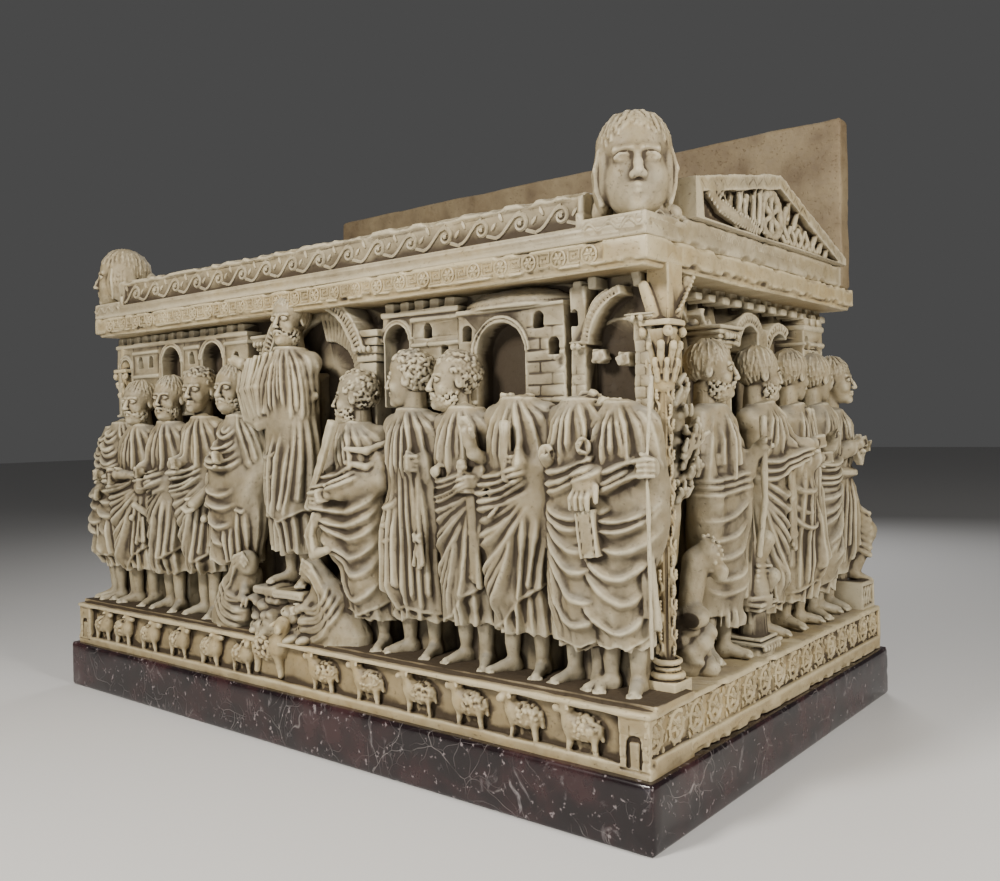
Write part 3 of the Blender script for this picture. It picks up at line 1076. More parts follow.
# x, z of the chin-to-crown middle, turn towards +x, hair, beard
FRONT_HEADS = ((0.59, 1.083, -0.65, "curls", True), (0.425, 1.095, -1.15, "curls", False),
               (0.2, 1.049, -1.05, "curls", True), (-0.405, 1.099, 0.2, "comb", True),
               (-0.592, 1.099, 0.3, "curls", False), (-0.777, 1.077, 0.3, "comb", True),
               (-0.976, 1.068, 0.2, "comb", True), (-0.095, 1.3, 0.15, "comb", True), )


# %% The middle group
def leaf_arch(stone, x, spring, radius, band, near, start, end, count=26):
    """An arch moulding with a row of upright leaves between two plain fillets."""
    fillet = 0.24 * band
    stone.add(hoop(x, spring, radius, band, near, 0.02, start, end), 0.003)
    stone.cut(hoop(x, spring, radius - fillet, band - 2 * fillet, near - 0.02, near + 0.006, start, end))
    low, high = radius - band + 1.3 * fillet, radius - 1.4 * fillet
    for i in range(count):
        angle = start + (end - start) * (i + 0.5) / count
        foot = (x + low * math.cos(angle), near + 0.005, spring + low * math.sin(angle))
        tip = (x + high * math.cos(angle), near + 0.004, spring + high * math.sin(angle))
        stone.add(bone(foot, tip, 0.0045, 0.007), 0.001)


def impost(stone, left, right, low, top, out, grow_by=0.01):
    """A stepped capital: fillet, egg row and slab."""
    steps = 5
    for i in range(steps):
        a = low + (top - low) * i / steps
        grow = grow_by * i
        stone.add(block((left - grow, -out - grow * 0.7, a),
                        (right + grow, 0.02, a + (top - low) / steps * 0.86), 0.003))
    row_z = low + (top - low) * 0.5
    count = int((right - left) / 0.016)
    for i in range(count):
        x = left + (i + 0.5) * (right - left) / count
        stone.add(lump((x, -out - 0.02, row_z), (0.007, 0.008, 0.01)), 0.002)


def rock(stone):
    """The mound under the middle figure."""
    rng = np.random.default_rng(40)
    for _ in range(80):
        x, z = rng.uniform(-0.25, 0.06), rng.uniform(0.312, 0.448)
        size = rng.uniform(0.015, 0.034)
        out = 0.104 + 0.055 * (0.46 - z) / 0.15 + rng.uniform(-0.02, 0.02)
        stone.add(lump((x, -out, z), (size * 1.4, 0.046, size * 0.8), tilt=rng.uniform(-0.6, 0.6)), 0.007)
    for low, high, out in ((-0.225, -0.11, 0.174), (-0.105, 0.035, 0.192)):
        stone.add(block((low, -out, 0.435), (high, 0.02, 0.462), 0.01), 0.01)
    for _ in range(30):
        x, z = rng.uniform(-0.24, 0.05), rng.uniform(0.32, 0.43)
        stone.cut(bone((x, -0.21, z),
                       (x + rng.uniform(-0.03, 0.03), -0.165, z + rng.uniform(-0.02, 0.02)), 0.005,
                       0.003), 0.004)


def kneeler(parent, x, facing, seed, tall=0.205, wide=0.098):
    """A small bowed figure in a veil, its hands towards the rock."""
    foot_z = LEDGE - 0.006
    stone = parent.piece_of((x - 0.19, -0.234, foot_z - 0.01), (x + 0.19, 0.03, foot_z + tall + 0.1))
    levels = [foot_z + tall * share for share in (0.0, 0.22, 0.45, 0.68, 0.86, 1.0)]
    middles = [x + facing * shift for shift in (-0.034, -0.036, -0.02, 0.006, 0.034, 0.052)]
    widths = [wide * share for share in (1.1, 1.08, 0.96, 0.74, 0.52, 0.34)]
    depths = [0.07, 0.07, 0.066, 0.058, 0.046, 0.032]
    stone.add(upright(levels, middles, -0.122, widths, depths))
    stone.add(bone((x, -0.126, levels[1]), (x + facing * 0.06, -0.166, levels[1] + 0.02), 0.05, 0.036), 0.03)
    top = Vector((x + facing * 0.07, -0.148, foot_z + tall + 0.018))
    stone.add(lump(top, (0.034, 0.038, 0.043), tilt=facing * 0.45), 0.012)
    # The veil: a hood round the head that runs down the back in three long folds.
    for shift, thick in ((0.0, 0.007), (0.5, 0.0065), (1.0, 0.0065)):
        line = (top + Vector((facing * 0.034, -0.02 - 0.01 * shift, 0.004 - 0.03 * shift)),
                top + Vector((facing * 0.008, -0.028 - 0.006 * shift, 0.038 - 0.028 * shift)),
                top + Vector((-facing * 0.03, -0.03 - 0.004 * shift, 0.022 - 0.034 * shift)),
                (x - facing * (0.02 + 0.02 * (1 - shift)), -0.17, levels[3] - 0.01 - 0.02 * shift),
                (x - facing * (0.07 - 0.03 * shift), -0.18, levels[1]))
        stone.strand(line, (thick * 0.7, thick, thick, thick, thick * 0.7), 0.008)
    stone.add(bone(top + Vector((-facing * 0.01, 0.004, 0.006)), (x - facing * 0.04, -0.128, levels[3]),
                   0.036, 0.04), 0.018)
    elbow = (x + facing * 0.068, -0.164, levels[3] - 0.012)
    stone.add(bone((x + facing * 0.035, -0.132, levels[4] - 0.01), elbow, 0.026, 0.023), 0.012)
    sheet = Cloth(foot_z, foot_z + tall + 0.05, seed)
    side = -facing
    for u0, w0, w1, count in ((0.1, 0.95, 0.2, 4), (0.02, 0.78, 0.1, 4)):
        for i in range(count):
            t = i / (count - 1)
            start = (side * (u0 + 0.03 * t), foot_z + tall * (w0 - 0.25 * t))
            end = (side * (-0.13 + 0.01 * t), foot_z + tall * (0.55 - 0.5 * t))
            bend = (side * (0.02 - 0.02 * t), foot_z + tall * (w1 + 0.3 - 0.28 * t))
            sheet.fold((start, bend, end), 0.012, 0.0085, (0.15, 0.15))
    wrap(stone, sheet, levels, middles, -0.122)
    hand(stone, (elbow[0] + facing * 0.014, -0.18, elbow[2] - 0.014), (facing, -0.2, -0.35), size=0.7)
    parent.join(stone, 0.004)


def kneeling(stone):
    """Two small bowed figures at the foot of the rock."""
    kneeler(stone, -0.345, 1, 41)
    kneeler(stone, 0.108, -1, 42, 0.205, 0.104)


# %% Carve the front
def carve_front():
    stone = Stone((-1.264, -0.234, RELIEF_FOOT), (1.258, 0.05, RELIEF_TOP), STEP)
    stone.add(block((-1.212, 0.0, 0.2), (1.172, 0.2, 1.5)))
    # City gates, from the left corner to the right one.
    gate(stone, -1.2, -1.085, 1.015, doors=((-1.14, 0.036, 1.235),), courses=(1.02,))
    gate(stone, -1.085, -0.915, 1.06, windows=((-1.035, 1.225), (-0.965, 1.225)),
         courses=(1.255, 1.165, 1.075))
    gate(stone, -0.915, -0.745, 1.015, doors=((-0.83, 0.058, 1.265),), courses=(1.02,))
    gate(stone, -0.745, -0.655, 1.06, windows=((-0.7, 1.225),), courses=(1.255, 1.165, 1.075))
    gate(stone, -0.655, -0.5, 1.015, doors=((-0.578, 0.058, 1.265),), courses=(1.02,))
    gate(stone, -0.5, -0.375, 1.1, windows=((-0.44, 1.21),), courses=(1.255, 1.155, 1.115))
    gate(stone, 0.275, 0.395, 1.015, doors=((0.332, 0.048, 1.255),))
    gate(stone, 0.395, 0.57, 1.015, windows=((0.455, 1.235), (0.52, 1.17)), courses=(1.262, 1.19, 1.11, 1.03))
    gate(stone, 0.575, 0.93, 0.995, top=1.268, out=GATE + 0.006, doors=((0.722, 0.082, 1.232),),
         merlons=False, windows=((0.605, 1.215), (0.605, 1.115), (0.848, 1.235), (0.895, 1.165)),
         courses=(1.266, 1.02))
    bricks(stone, 0.4, 0.566, 1.03, 1.26, GATE)
    bricks(stone, 0.812, 0.928, 1.0, 1.26, GATE + 0.006)
    # A low tiled dome on the wide gate.
    dome = stone.piece_of((0.55, -0.11, 1.25), (0.95, 0.03, 1.336))
    dome.add(lump((0.752, -0.015, 1.262), (0.186, 0.072, 0.062)))
    for rise in (0.016, 0.034):
        share = math.sqrt(1 - (rise / 0.062) ** 2)
        line = [(0.752 + 0.184 * share * math.sin(t), -0.015 - 0.072 * share * math.cos(t), 1.262 + rise)
                for t in np.linspace(-1.5, 1.5, 15)]
        for form in chain(line, (0.0022,) * 15):
            dome.cut(form)
        for spot in line:
            dome.cut(bone(spot, (spot[0] + 0.004, spot[1] + 0.004, spot[2] + 0.018), 0.0018))
    dome.cut(block((0.5, -0.2, 1.2), (1.0, 0.1, 1.266)))
    stone.join(dome)
    # Right corner: a light niche between a narrow wall and a masonry pier.
    stone.add(block((0.945, -GATE, 0.95), (0.992, 0.02, 1.3), 0.003))
    bricks(stone, 0.945, 0.992, 0.96, 1.14, GATE, 0.024)
    stone.cut(arch(0.956, 1.235, 0.01, 1.205, -0.2, -0.02))
    impost(stone, 0.958, 0.99, 1.135, 1.165, GATE, 0.004)
    stone.add(block((1.122, -GATE + 0.01, 0.95), (1.172, 0.02, 1.205), 0.003))
    bricks(stone, 1.122, 1.172, 0.96, 1.2, GATE - 0.01, 0.028)
    impost(stone, 1.122, 1.166, 1.19, 1.222, GATE - 0.01, 0.005)
    stone.cut(arch(1.057, 1.13, 0.068, 0.95, -0.2, -0.004), 0.004)
    stone.add(hoop(1.057, 1.14, 0.08, 0.005, -0.005, 0.02), 0.001)
    # What is left of the leafy arch over it: a quarter, with two battlements on its back.
    leaf_arch(stone, 1.125, 1.152, 0.148, 0.026, -GATE - 0.004, 1.8, 3.12, 17)
    stone.add(hoop(1.125, 1.152, 0.158, 0.008, -GATE + 0.006, -0.03, 2.05, 3.12), 0.002)
    for x, z in ((0.968, 1.305), (1.012, 1.312)):
        stone.add(block((x - 0.011, -GATE - 0.002, z - 0.02), (x + 0.011, 0.02, z + 0.008), 0.003))
    stone.add(block((1.11, -0.036, 1.29), (1.135, 0.02, 1.336), 0.004, 0.2))
    # Stubs where lost heads were joined to the wall.
    rng = np.random.default_rng(44)
    for x, z in ((1.022, 1.128), (1.092, 1.108), (0.906, 1.11), (-1.065, 1.105)):
        for k in range(3):
            spot = (x + rng.uniform(-0.006, 0.006), -0.03 - 0.008 * k, z + rng.uniform(-0.006, 0.006))
            stone.add(block([c - 0.017 + 0.003 * k for c in spot],
                            [c + 0.017 - 0.003 * k for c in spot], 0.002, rng.uniform(-0.5, 0.5)), 0.002)
        stone.cut(lump((x + 0.012, -0.07, z + 0.01), (0.02, 0.014, 0.02)), 0.002)
    # The middle figure's arch on its two imposts.
    leaf_arch(stone, -0.02, 1.13, 0.25, 0.046, -0.092, 0.25, math.pi - 0.1, 44)
    stone.add(hoop(-0.02, 1.13, 0.2, 0.03, -0.03, 0.02, 0.1, math.pi - 0.1), 0.003)
    for k in range(15):
        way = 0.12 + 0.105 * k
        stone.add(bone((-0.02 + 0.13 * math.cos(way), -0.006, 1.11 + 0.13 * math.sin(way)),
                       (-0.02 + 0.196 * math.cos(way), -0.022, 1.115 + 0.196 * math.sin(way)), 0.008,
                       0.012), 0.004)
    impost(stone, -0.31, -0.225, 1.205, 1.27, 0.062, 0.006)
    impost(stone, 0.18, 0.25, 1.13, 1.25, 0.066, 0.007)
    stone.add(block((0.18, -0.066, 0.96), (0.25, 0.02, 1.13), 0.004))
    stone.add(block((-0.305, -0.056, 1.1), (-0.225, 0.02, 1.21), 0.004))
    rock(stone)
    kneeling(stone)
    child(stone, -0.468, 0.59, 0.235, 50)
    child(stone, -0.918, 0.58, 0.215, 51)
    set_figures(stone, FRONT_FIGURES + (CENTRE,))
    central_arms(stone)
    return stone


def central_arms(stone):
    """The middle figure's outstretched arm with its wide sleeve, and the rolled mantle edge."""
    arm = stone.piece_of((-0.38, -0.234, 0.9), (0.16, 0.03, 1.3))
    stump(arm, (-0.165, -0.095, 1.15), (-0.285, -0.12, 1.165), 0.038, 0.022, 0.02)
    # Cloth hanging from the arm: parallel curved pleats that gather towards the hip.
    for i in range(10):
        t = i / 9
        top = (-0.3 + 0.2 * t, -0.132 - 0.034 * math.sin(2.6 * t), 1.168 + 0.03 * t)
        middle = (-0.29 + 0.168 * t, -0.156 - 0.03 * math.sin(2.6 * t), 1.085 + 0.01 * t)
        foot = (-0.252 + 0.118 * t, -0.158 - 0.022 * t, 0.992 + 0.02 * t)
        thick = (1.25, 0.7, 0.95, 1.3, 0.65, 1.1, 0.75, 1.3, 0.7, 1.05)[i]
        arm.strand((top, middle, foot), (0.008 * thick, 0.01 * thick, 0.007 * thick), 0.003)
    arm.add(block((-0.285, -0.146, 1.01), (-0.11, -0.09, 1.15), 0.03, 0.0), 0.02)
    stump(arm, (-0.285, -0.15, 1.172), (-0.322, -0.158, 1.186), 0.02, 0.016, 0.006)
    # The edge of the mantle, rolled, rises from the hip to the other shoulder.
    for shift, thick, out in ((0.0, 0.0095, 0.0), (0.015, 0.0075, -0.003), (-0.014, 0.007, -0.004)):
        line = ((-0.25, -0.16 - out, 0.992 + shift), (-0.18, -0.17 - out, 0.975 + shift),
                (-0.095, -0.164 - out, 0.996 + shift * 0.8), (-0.03, -0.142 - out, 1.03 + shift * 0.6),
                (0.02, -0.1 - out, 1.06 + shift * 0.4))
        arm.strand(line, (thick * 0.6, thick, thick, thick * 0.9, thick * 0.6), 0.01)
    stone.join(arm, 0.008)

# %% [markdown]
# ## From distances to a mesh
# The skin of a stone has a face for every grid cell it crosses, far more than flat parts
# need. Decimate thins it where it is flat and keeps the folds. Before the grid is let go
# it is blurred twice and read at every vertex: a spot with more stone round it than air
# lies in a hollow. The marble's shader uses that to put dirt in the hollows and to pale
# the ridges, as age does.

# %% Meshing
Skin = namedtuple("Skin", "spots triangles hollow")


def mesh_from(name, spots, faces):
    """A mesh from arrays; `faces` is a list of arrays of triangles or quads."""
    mesh = bpy.data.meshes.new(name)
    mesh.vertices.add(len(spots))
    mesh.vertices.foreach_set("co", np.ascontiguousarray(spots, np.float32).ravel())
    corners = np.concatenate([f.ravel() for f in faces]).astype(np.int32)
    sizes = np.concatenate([np.full(len(f), f.shape[1]) for f in faces if len(f)])
    mesh.loops.add(len(corners))
    mesh.loops.foreach_set("vertex_index", corners)
    mesh.polygons.add(len(sizes))
    mesh.polygons.foreach_set("loop_start", np.concatenate([[0], np.cumsum(sizes)[:-1]]).astype(np.int32))
    mesh.update(calc_edges=True)
    mesh.validate()
    return mesh


def spots_of(mesh):
    spots = np.empty(len(mesh.vertices) * 3, np.float32)
    mesh.vertices.foreach_get("co", spots)
    return spots.reshape(-1, 3)


def triangles_of(mesh):
    mesh.calc_loop_triangles()
    corners = np.empty(len(mesh.loop_triangles) * 3, np.int32)
    mesh.loop_triangles.foreach_get("vertices", corners)
    return corners.reshape(-1, 3)


def settled(thing):
    """The object's mesh with its modifiers applied, as a new mesh."""
    graph = bpy.context.evaluated_depsgraph_get()
    return bpy.data.meshes.new_from_object(thing.evaluated_get(graph))


def thinned(spots, faces, goal):
    """The same surface with about `goal` triangles."""
    mesh = mesh_from("thick", spots, faces)
    total = sum(len(f) * (f.shape[1] - 2) for f in faces)
    if total <= goal:
        return spots_of(mesh), triangles_of(mesh)
    thing = bpy.data.objects.new("thick", mesh)
    bpy.context.scene.collection.objects.link(thing)
    modifier = thing.modifiers.new("thin", "DECIMATE")
    modifier.ratio = goal / total
    thin = settled(thing)
    result = spots_of(thin), triangles_of(thin)
    bpy.data.objects.remove(thing)
    bpy.data.meshes.remove(mesh)
    bpy.data.meshes.remove(thin)
    return result


def blurred(field, radius):
    """Box blur along each axis by running sums."""
    for axis in range(3):
        pad = [(radius + 1, radius) if a == axis else (0, 0) for a in range(3)]
        total = np.cumsum(np.pad(field, pad, mode="edge"), axis=axis, dtype=np.float32)
        ahead = [slice(2 * radius + 1, None) if a == axis else slice(None) for a in range(3)]
        behind = [slice(None, -2 * radius - 1) if a == axis else slice(None) for a in range(3)]
        field = (total[tuple(ahead)] - total[tuple(behind)]) / (2 * radius + 1)
    return field


def hollows(stone, spots, radii):
    """How far each spot lies in a crease and in a deep hollow: 0.5 is flat stone, less is an edge."""
    full = np.clip(0.5 - stone.field / stone.step, 0, 1).astype(np.float32)
    where = np.clip((spots - stone.low) / stone.step, 0, np.array(full.shape) - 1.001)
    cell = where.astype(int)
    part = where - cell
    columns = []
    for radius in radii:
        soft = blurred(blurred(full, 1), max(1, round(radius / stone.step)))
        total = np.zeros(len(spots), np.float32)
        for corner in np.ndindex(2, 2, 2):
            weight = np.prod(np.where(corner, part, 1 - part), axis=1)
            total += weight * soft[tuple((cell + corner).T)]
        columns.append(total)
    return np.stack(columns, axis=1)


def weathered(spots, triangles, fine, broad):
    """Moves spots along their normals a little, by noise of two sizes."""
    a, b, c = (spots[triangles[:, i]] for i in range(3))
    normals = np.zeros_like(spots)
    across = np.cross(b - a, c - a)
    for i in range(3):
        np.add.at(normals, triangles[:, i], across)
    normals /= np.linalg.norm(normals, axis=1, keepdims=True) + 1e-12
    return spots + normals * (fine * grain(spots, 0.014) + broad * grain(spots + 3, 0.06))[:, None]


def carved(stone, goal, place=Matrix.Identity(4), scale=1.0, radii=(0.0075, 0.034), wear=1.0):
    """Meshes a stone, thins it, moves it into its place and weathers it."""
    spots, triangles, quads = stone.skin()
    spots, triangles = thinned(spots, [f for f in (triangles, quads) if len(f)], goal)
    hollow = hollows(stone, spots, [r / scale for r in radii])
    turn = np.array(place.to_3x3(), np.float32)
    spots = spots * scale @ turn.T + np.array(place.translation, np.float32)
    return Skin(weathered(spots, triangles, 0.0007 * wear, 0.0012 * wear), triangles, hollow)


def together(skins):
    """Several skins as one."""
    counts = np.cumsum([0] + [len(s.spots) for s in skins])
    return Skin(np.concatenate([s.spots for s in skins]),
                np.concatenate([s.triangles + c for s, c in zip(skins, counts)]),
                np.concatenate([s.hollow for s in skins]))


def mirrored(skin):
    """The skin on the other side of x = 0, with its faces still outwards."""
    return Skin(skin.spots * np.array((-1, 1, 1), np.float32), skin.triangles[:, ::-1], skin.hollow)


def mark_hollows(mesh, hollow):
    for column, title in enumerate(("crease", "hollow")):
        values = np.ascontiguousarray(hollow[:, column])
        mesh.attributes.new(title, "FLOAT", "POINT").data.foreach_set("value", values)


def finish_piece(name, skin, material, node):
    mesh = mesh_from(name, skin.spots, [skin.triangles])
    mark_hollows(mesh, skin.hollow)
    mesh.shade_smooth()
    mesh.set_sharp_from_angle(angle=math.radians(55))
    mesh.materials.append(material)
    piece = bpy.data.objects.new(name, mesh)
    bpy.context.scene.collection.objects.link(piece)
    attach(piece, "root")
    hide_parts(node)
    print(name, len(mesh.polygons), "triangles")
    return piece


def side_place(turn, wall):
    """From a panel (x along it, -y outwards) to its side of the chest."""
    return Matrix.Rotation(turn, 4, "Z") @ Matrix.Translation((0, -wall, 0))

# %% [markdown]
# ## The right end
# Five figures, an altar with a kneeling child, rocks and a ram by the corner column, and a
# broken arcade above. The relief is deeper here than on the front, so the bodies stand
# further out from the wall.

# %% Extras of the right end
END_OUT = 0.112


def rod_extras(stone, x, at):
    stone.strand(((x + 0.098, -0.215, at(0.94)), (x + 0.106, -0.214, at(0.62)), (x + 0.094, -0.2, at(0.4))),
                      (0.009, 0.01, 0.008), 0.003)
    hanging(stone, (x + 0.108, -0.16, at(0.76)), 0.46, 4, 0.013, 0.01, sway=0.01)
    for z in (0.775, 0.795):
        stone.add(bone((x - 0.05, -0.15, at(z)), (x + 0.07, -0.168, at(z + 0.012)), 0.007), 0.01)


def reach_extras(stone, x, at):
    hanging(stone, (x + 0.07, -0.18, at(0.76)), 0.27, 3, 0.012, 0.01, sway=0.014)
    stone.add(lump((x + 0.082, -0.182, at(0.44)), (0.016, 0.013, 0.02)), 0.006)


def band_extras(stone, x, at):
    for side in (-0.014, 0.014):
        stone.strand(((x + side + 0.02, -0.17, at(0.98)), (x + side + 0.03, -0.188, at(0.8)),
                           (x + side + 0.02, -0.19, at(0.6))), (0.009, 0.009, 0.009), 0.003)
    stone.add(block((x - 0.004, -0.196, at(0.47)), (x + 0.044, -0.16, at(0.535)), 0.006), 0.002)
    hanging(stone, (x + 0.02, -0.19, at(0.49)), 0.1, 3, 0.012, 0.008)


def tablet_extras(stone, x, at):
    stone.add(block((x - 0.045, -0.215, at(0.74)), (x + 0.025, -0.195, at(0.86)), 0.002, 0.75))
    knee = (x + 0.105, -0.185, at(0.38))
    stone.add(bone((x + 0.045, -0.12, at(0.52)), knee, 0.046, 0.038), 0.03)
    stone.add(bone(knee, (x + 0.07, -0.15, at(0.17)), 0.036, 0.026), 0.01)
    for i in range(7):
        z = 0.5 - 0.035 * i
        stone.strand(((x + 0.03, -0.165, at(z + 0.02)), (x + 0.085, -0.205, at(z - 0.03)),
                           (x + 0.122, -0.165, at(z))), (0.004, 0.006, 0.004), 0.012)
    stone.add(bone((x + 0.07, -0.165, at(0.155)), (x + 0.11, -0.195, at(0.125)), 0.018, 0.012), 0.006)


RIGHT_FIGURES = (dict(x=-0.245, seed=71, shoulder=1.005, hem=0.4, cloth=belted_cloth, free=1, wide=0.92,
                      middle_y=-END_OUT, turn=-0.35,
                      arms=((1, (0.098, -0.15, 0.74), (0.092, -0.205, 0.82), "cloth"),
                            (-1, (-0.098, -0.13, 0.76), (-0.086, -0.16, 0.62), "veiled")),
                      extras=rod_extras),
                 dict(x=0.055, seed=72, shoulder=1.005, hem=0.4, cloth=swag_cloth, free=-1, wide=1.0,
                      middle_y=-END_OUT, turn=0.15,
                      arms=((1, (0.06, -0.16, 0.78), (0.155, -0.2, 0.82), "sleeve"),),
                      extras=reach_extras),
                 dict(x=0.285, seed=73, shoulder=1.0, hem=0.395, cloth=long_cloth, free=1, wide=0.98,
                      middle_y=-END_OUT, turn=0.15,
                      arms=((-1, (-0.08, -0.13, 0.74), (0.0, -0.19, 0.76), "cloth"),),
                      extras=band_extras),
                 dict(x=0.485, seed=74, shoulder=1.0, hem=0.4, cloth=orator_cloth, free=-1, wide=1.0,
                      middle_y=-END_OUT, turn=0.2,
                      arms=((-1, (-0.07, -0.15, 0.76), (-0.11, -0.205, 0.84), "sleeve"),)),
                 dict(x=0.655, seed=75, shoulder=0.99, hem=0.43, cloth=plain_cloth, free=1, wide=0.98,
                      middle_y=-END_OUT, turn=0.2,
                      arms=((-1, (-0.085, -0.15, 0.78), (-0.045, -0.2, 0.82), "sleeve"),
                            (1, (0.09, -0.13, 0.76), (0.04, -0.195, 0.8), "bare")), extras=tablet_extras), )
RIGHT_HEADS = ((-0.25, 1.098, 0.45, "comb", True), (0.06, 1.095, 0.85, "comb", True),
               (0.29, 1.098, 1.3, "comb", False), (0.492, 1.094, 1.25, "comb", False),
               (0.665, 1.09, 0.25, "comb", False), )


def altar(stone, x):
    """A small flared altar with a kneeling child on it, its hands bound behind."""
    stone.add(upright((0.3, 0.335, 0.345, 0.425, 0.435, 0.47), (x,) * 6, -0.15,
                      (0.07, 0.066, 0.044, 0.04, 0.058, 0.062),
                      (0.06, 0.058, 0.04, 0.038, 0.052, 0.055)), 0.0)
    for z, half in ((0.34, 0.068), (0.352, 0.058), (0.434, 0.054), (0.448, 0.062)):
        stone.add(block((x - half, -0.15 - half * 0.85, z - 0.005), (x + half, -0.06, z + 0.005), 0.002))
    for i in range(6):
        stone.add(lump((x - 0.045 + 0.018 * i, -0.205, 0.328), (0.008, 0.008, 0.01)), 0.002)
    stone.add(bone((x - 0.01, -0.165, 0.48), (x - 0.005, -0.15, 0.56), 0.036, 0.034), 0.01)
    stone.add(bone((x - 0.002, -0.15, 0.56), (x + 0.012, -0.185, 0.625), 0.032, 0.026), 0.012)
    stone.add(bone((x + 0.03, -0.165, 0.48), (x + 0.032, -0.195, 0.52), 0.022, 0.024), 0.01)
    for i in range(6):
        z = 0.485 + 0.014 * i
        stone.add(bone((x - 0.035, -0.18, z), (x + 0.032, -0.192, z - 0.006), 0.0045), 0.004)


def ram_and_rocks(stone):
    rng = np.random.default_rng(80)
    for i in range(22):
        t = i / 21
        stone.add(lump((-0.405 + rng.uniform(-0.045, 0.03), -0.13 + rng.uniform(-0.03, 0.03),
                        0.325 + 0.14 * t), (rng.uniform(0.028, 0.045), 0.04, rng.uniform(0.02, 0.034)),
                       tilt=rng.uniform(-0.8, 0.8)), 0.006)
    stone.add(bone((-0.425, -0.13, 0.47), (-0.405, -0.14, 0.6), 0.03, 0.036), 0.02)
    stone.add(lump((-0.385, -0.165, 0.612), (0.033, 0.038, 0.05), tilt=0.2), 0.014)
    stone.add(lump((-0.372, -0.19, 0.572), (0.02, 0.024, 0.026)), 0.012)
    for way in even_points(60):
        if way.x > -0.5 and way.y < 0.5:
            stone.add(lump((-0.385 + 0.032 * way.x, -0.165 + 0.037 * way.y, 0.618 + 0.048 * way.z),
                           (0.0065, 0.0065, 0.0065)), 0.004)
    # Foliage above it.
    for _ in range(70):
        x, z = rng.uniform(-0.44, -0.37), rng.uniform(0.72, 1.06)
        y = -0.08 - 0.055 * math.sin(math.pi * (z - 0.72) / 0.34) + rng.uniform(-0.012, 0.012)
        tip = rng.uniform(-1.2, 1.2)
        leaf = (x + 0.026 * math.sin(tip), y - 0.012, z + 0.026 * math.cos(tip))
        stone.add(bone((x, y, z), leaf, 0.01, 0.006), 0.003)
    stone.add(bone((-0.43, -0.08, 0.6), (-0.405, -0.09, 1.02), 0.022, 0.028), 0.01)


def end_arcade(stone, first=-0.52, last=0.62):
    """Battlements, broken arches and a fluted pier under the top band."""
    stone.add(block((first, -0.022, 1.235), (last, 0.02, 1.34), 0.003))
    count = 14
    for i in range(count):
        x = -0.445 + i * 0.0815
        stone.add(block((x - 0.022, -0.085, 1.296), (x + 0.022, 0.02, 1.334), 0.006))
        stone.add(block((x - 0.02, -0.1, 1.284), (x + 0.02, -0.03, 1.306), 0.004), 0.004)
    # Fluted pier with its capital, left of the second head.
    stone.add(block((-0.145, -0.085, 0.96), (-0.065, 0.02, 1.165), 0.004))
    for i in range(4):
        x = -0.136 + i * 0.021
        stone.cut(bone((x, -0.09, 0.97), (x, -0.09, 1.15), 0.0068))
    impost(stone, -0.15, -0.06, 1.165, 1.228, 0.088)
    # Arches that spring from the pier.
    leaf_arch(stone, 0.05, 1.165, 0.112, 0.04, -0.095, 0.15, math.pi - 0.1, 20)
    leaf_arch(stone, -0.3, 1.15, 0.17, 0.034, -0.07, 0.05, 0.9, 8)
    stone.cut(arch(-0.3, 1.15, 0.132, 0.95, -0.2, 0.02))
    for x, radius, top in ((-0.175, 0.03, 1.335), (0.005, 0.042, 1.335), (0.19, 0.036, 1.325),
                           (0.33, 0.05, 1.33)):
        stone.cut(lump((x, -0.03, top - 0.05), (radius, 0.055, 0.06)), 0.01)
    stone.add(block((0.1, -0.095, 1.165), (0.18, 0.02, 1.235), 0.006), 0.004)
    leaf_arch(stone, 0.3, 1.15, 0.115, 0.036, -0.08, 0.9, 3.0, 12)
    # The far gate tower.
    gate(stone, 0.44, 0.6, 1.04, top=1.262, out=0.1, doors=((0.52, 0.034, 1.18),),
         windows=((0.47, 1.215),), courses=(1.205, 1.06))
    bricks(stone, 0.44, 0.6, 1.07, 1.25, 0.1)


def lattice_box(stone, x, high):
    stone.add(block((x - 0.06, -0.205, 0.3), (x + 0.06, -0.03, high), 0.004))
    stone.cut(block((x - 0.05, -0.22, 0.316), (x + 0.05, -0.186, high - 0.016)))
    for i in range(4):
        middle = x - 0.038 + 0.0253 * i
        for lean in (-1, 1):
            stone.add(bone((middle - lean * 0.015, -0.193, 0.314),
                           (middle + lean * 0.015, -0.193, high - 0.014), 0.0045))


def carve_right():
    stone = Stone((-0.475, -0.236, RELIEF_FOOT), (0.795, 0.05, RELIEF_TOP), STEP)
    stone.add(block((-0.6, 0.0, 0.2), (0.618, 0.2, 1.5)))
    end_arcade(stone)
    ram_and_rocks(stone)
    altar(stone, -0.085)
    lattice_box(stone, 0.725, 0.4)
    set_figures(stone, RIGHT_FIGURES)
    return stone


# %% [markdown]
# ## The left end and the back
# Neither shows from the front, so they are plainer: three figures under a row of gates on
# the left, and flat piers on the back, blocked out as they would be for a sarcophagus
# that stood near a wall.

# %% The left end and the back
LEFT_FIGURES = tuple(dict(x=x, seed=seed, shoulder=1.0, hem=0.43, cloth=cloth, free=free, middle_y=-0.1,
                          arms=((1, (0.105, -0.11, 0.74), (0.03, -0.19, 0.76), "cloth"),
                                (-1, (-0.11, -0.11, 0.72), (-0.045, -0.185, 0.66), "cloth"))) for x,
                     seed, cloth, free in ((-0.36, 91, orator_cloth, 1), (0.0, 92, swag_cloth, -1),
                                           (0.36, 93, orator_cloth, -1)))
LEFT_HEADS = ((-0.36, 1.09, 0.3, "comb", True), (0.0, 1.09, 0.0, "curls", False),
              (0.36, 1.09, -0.3, "comb", True))


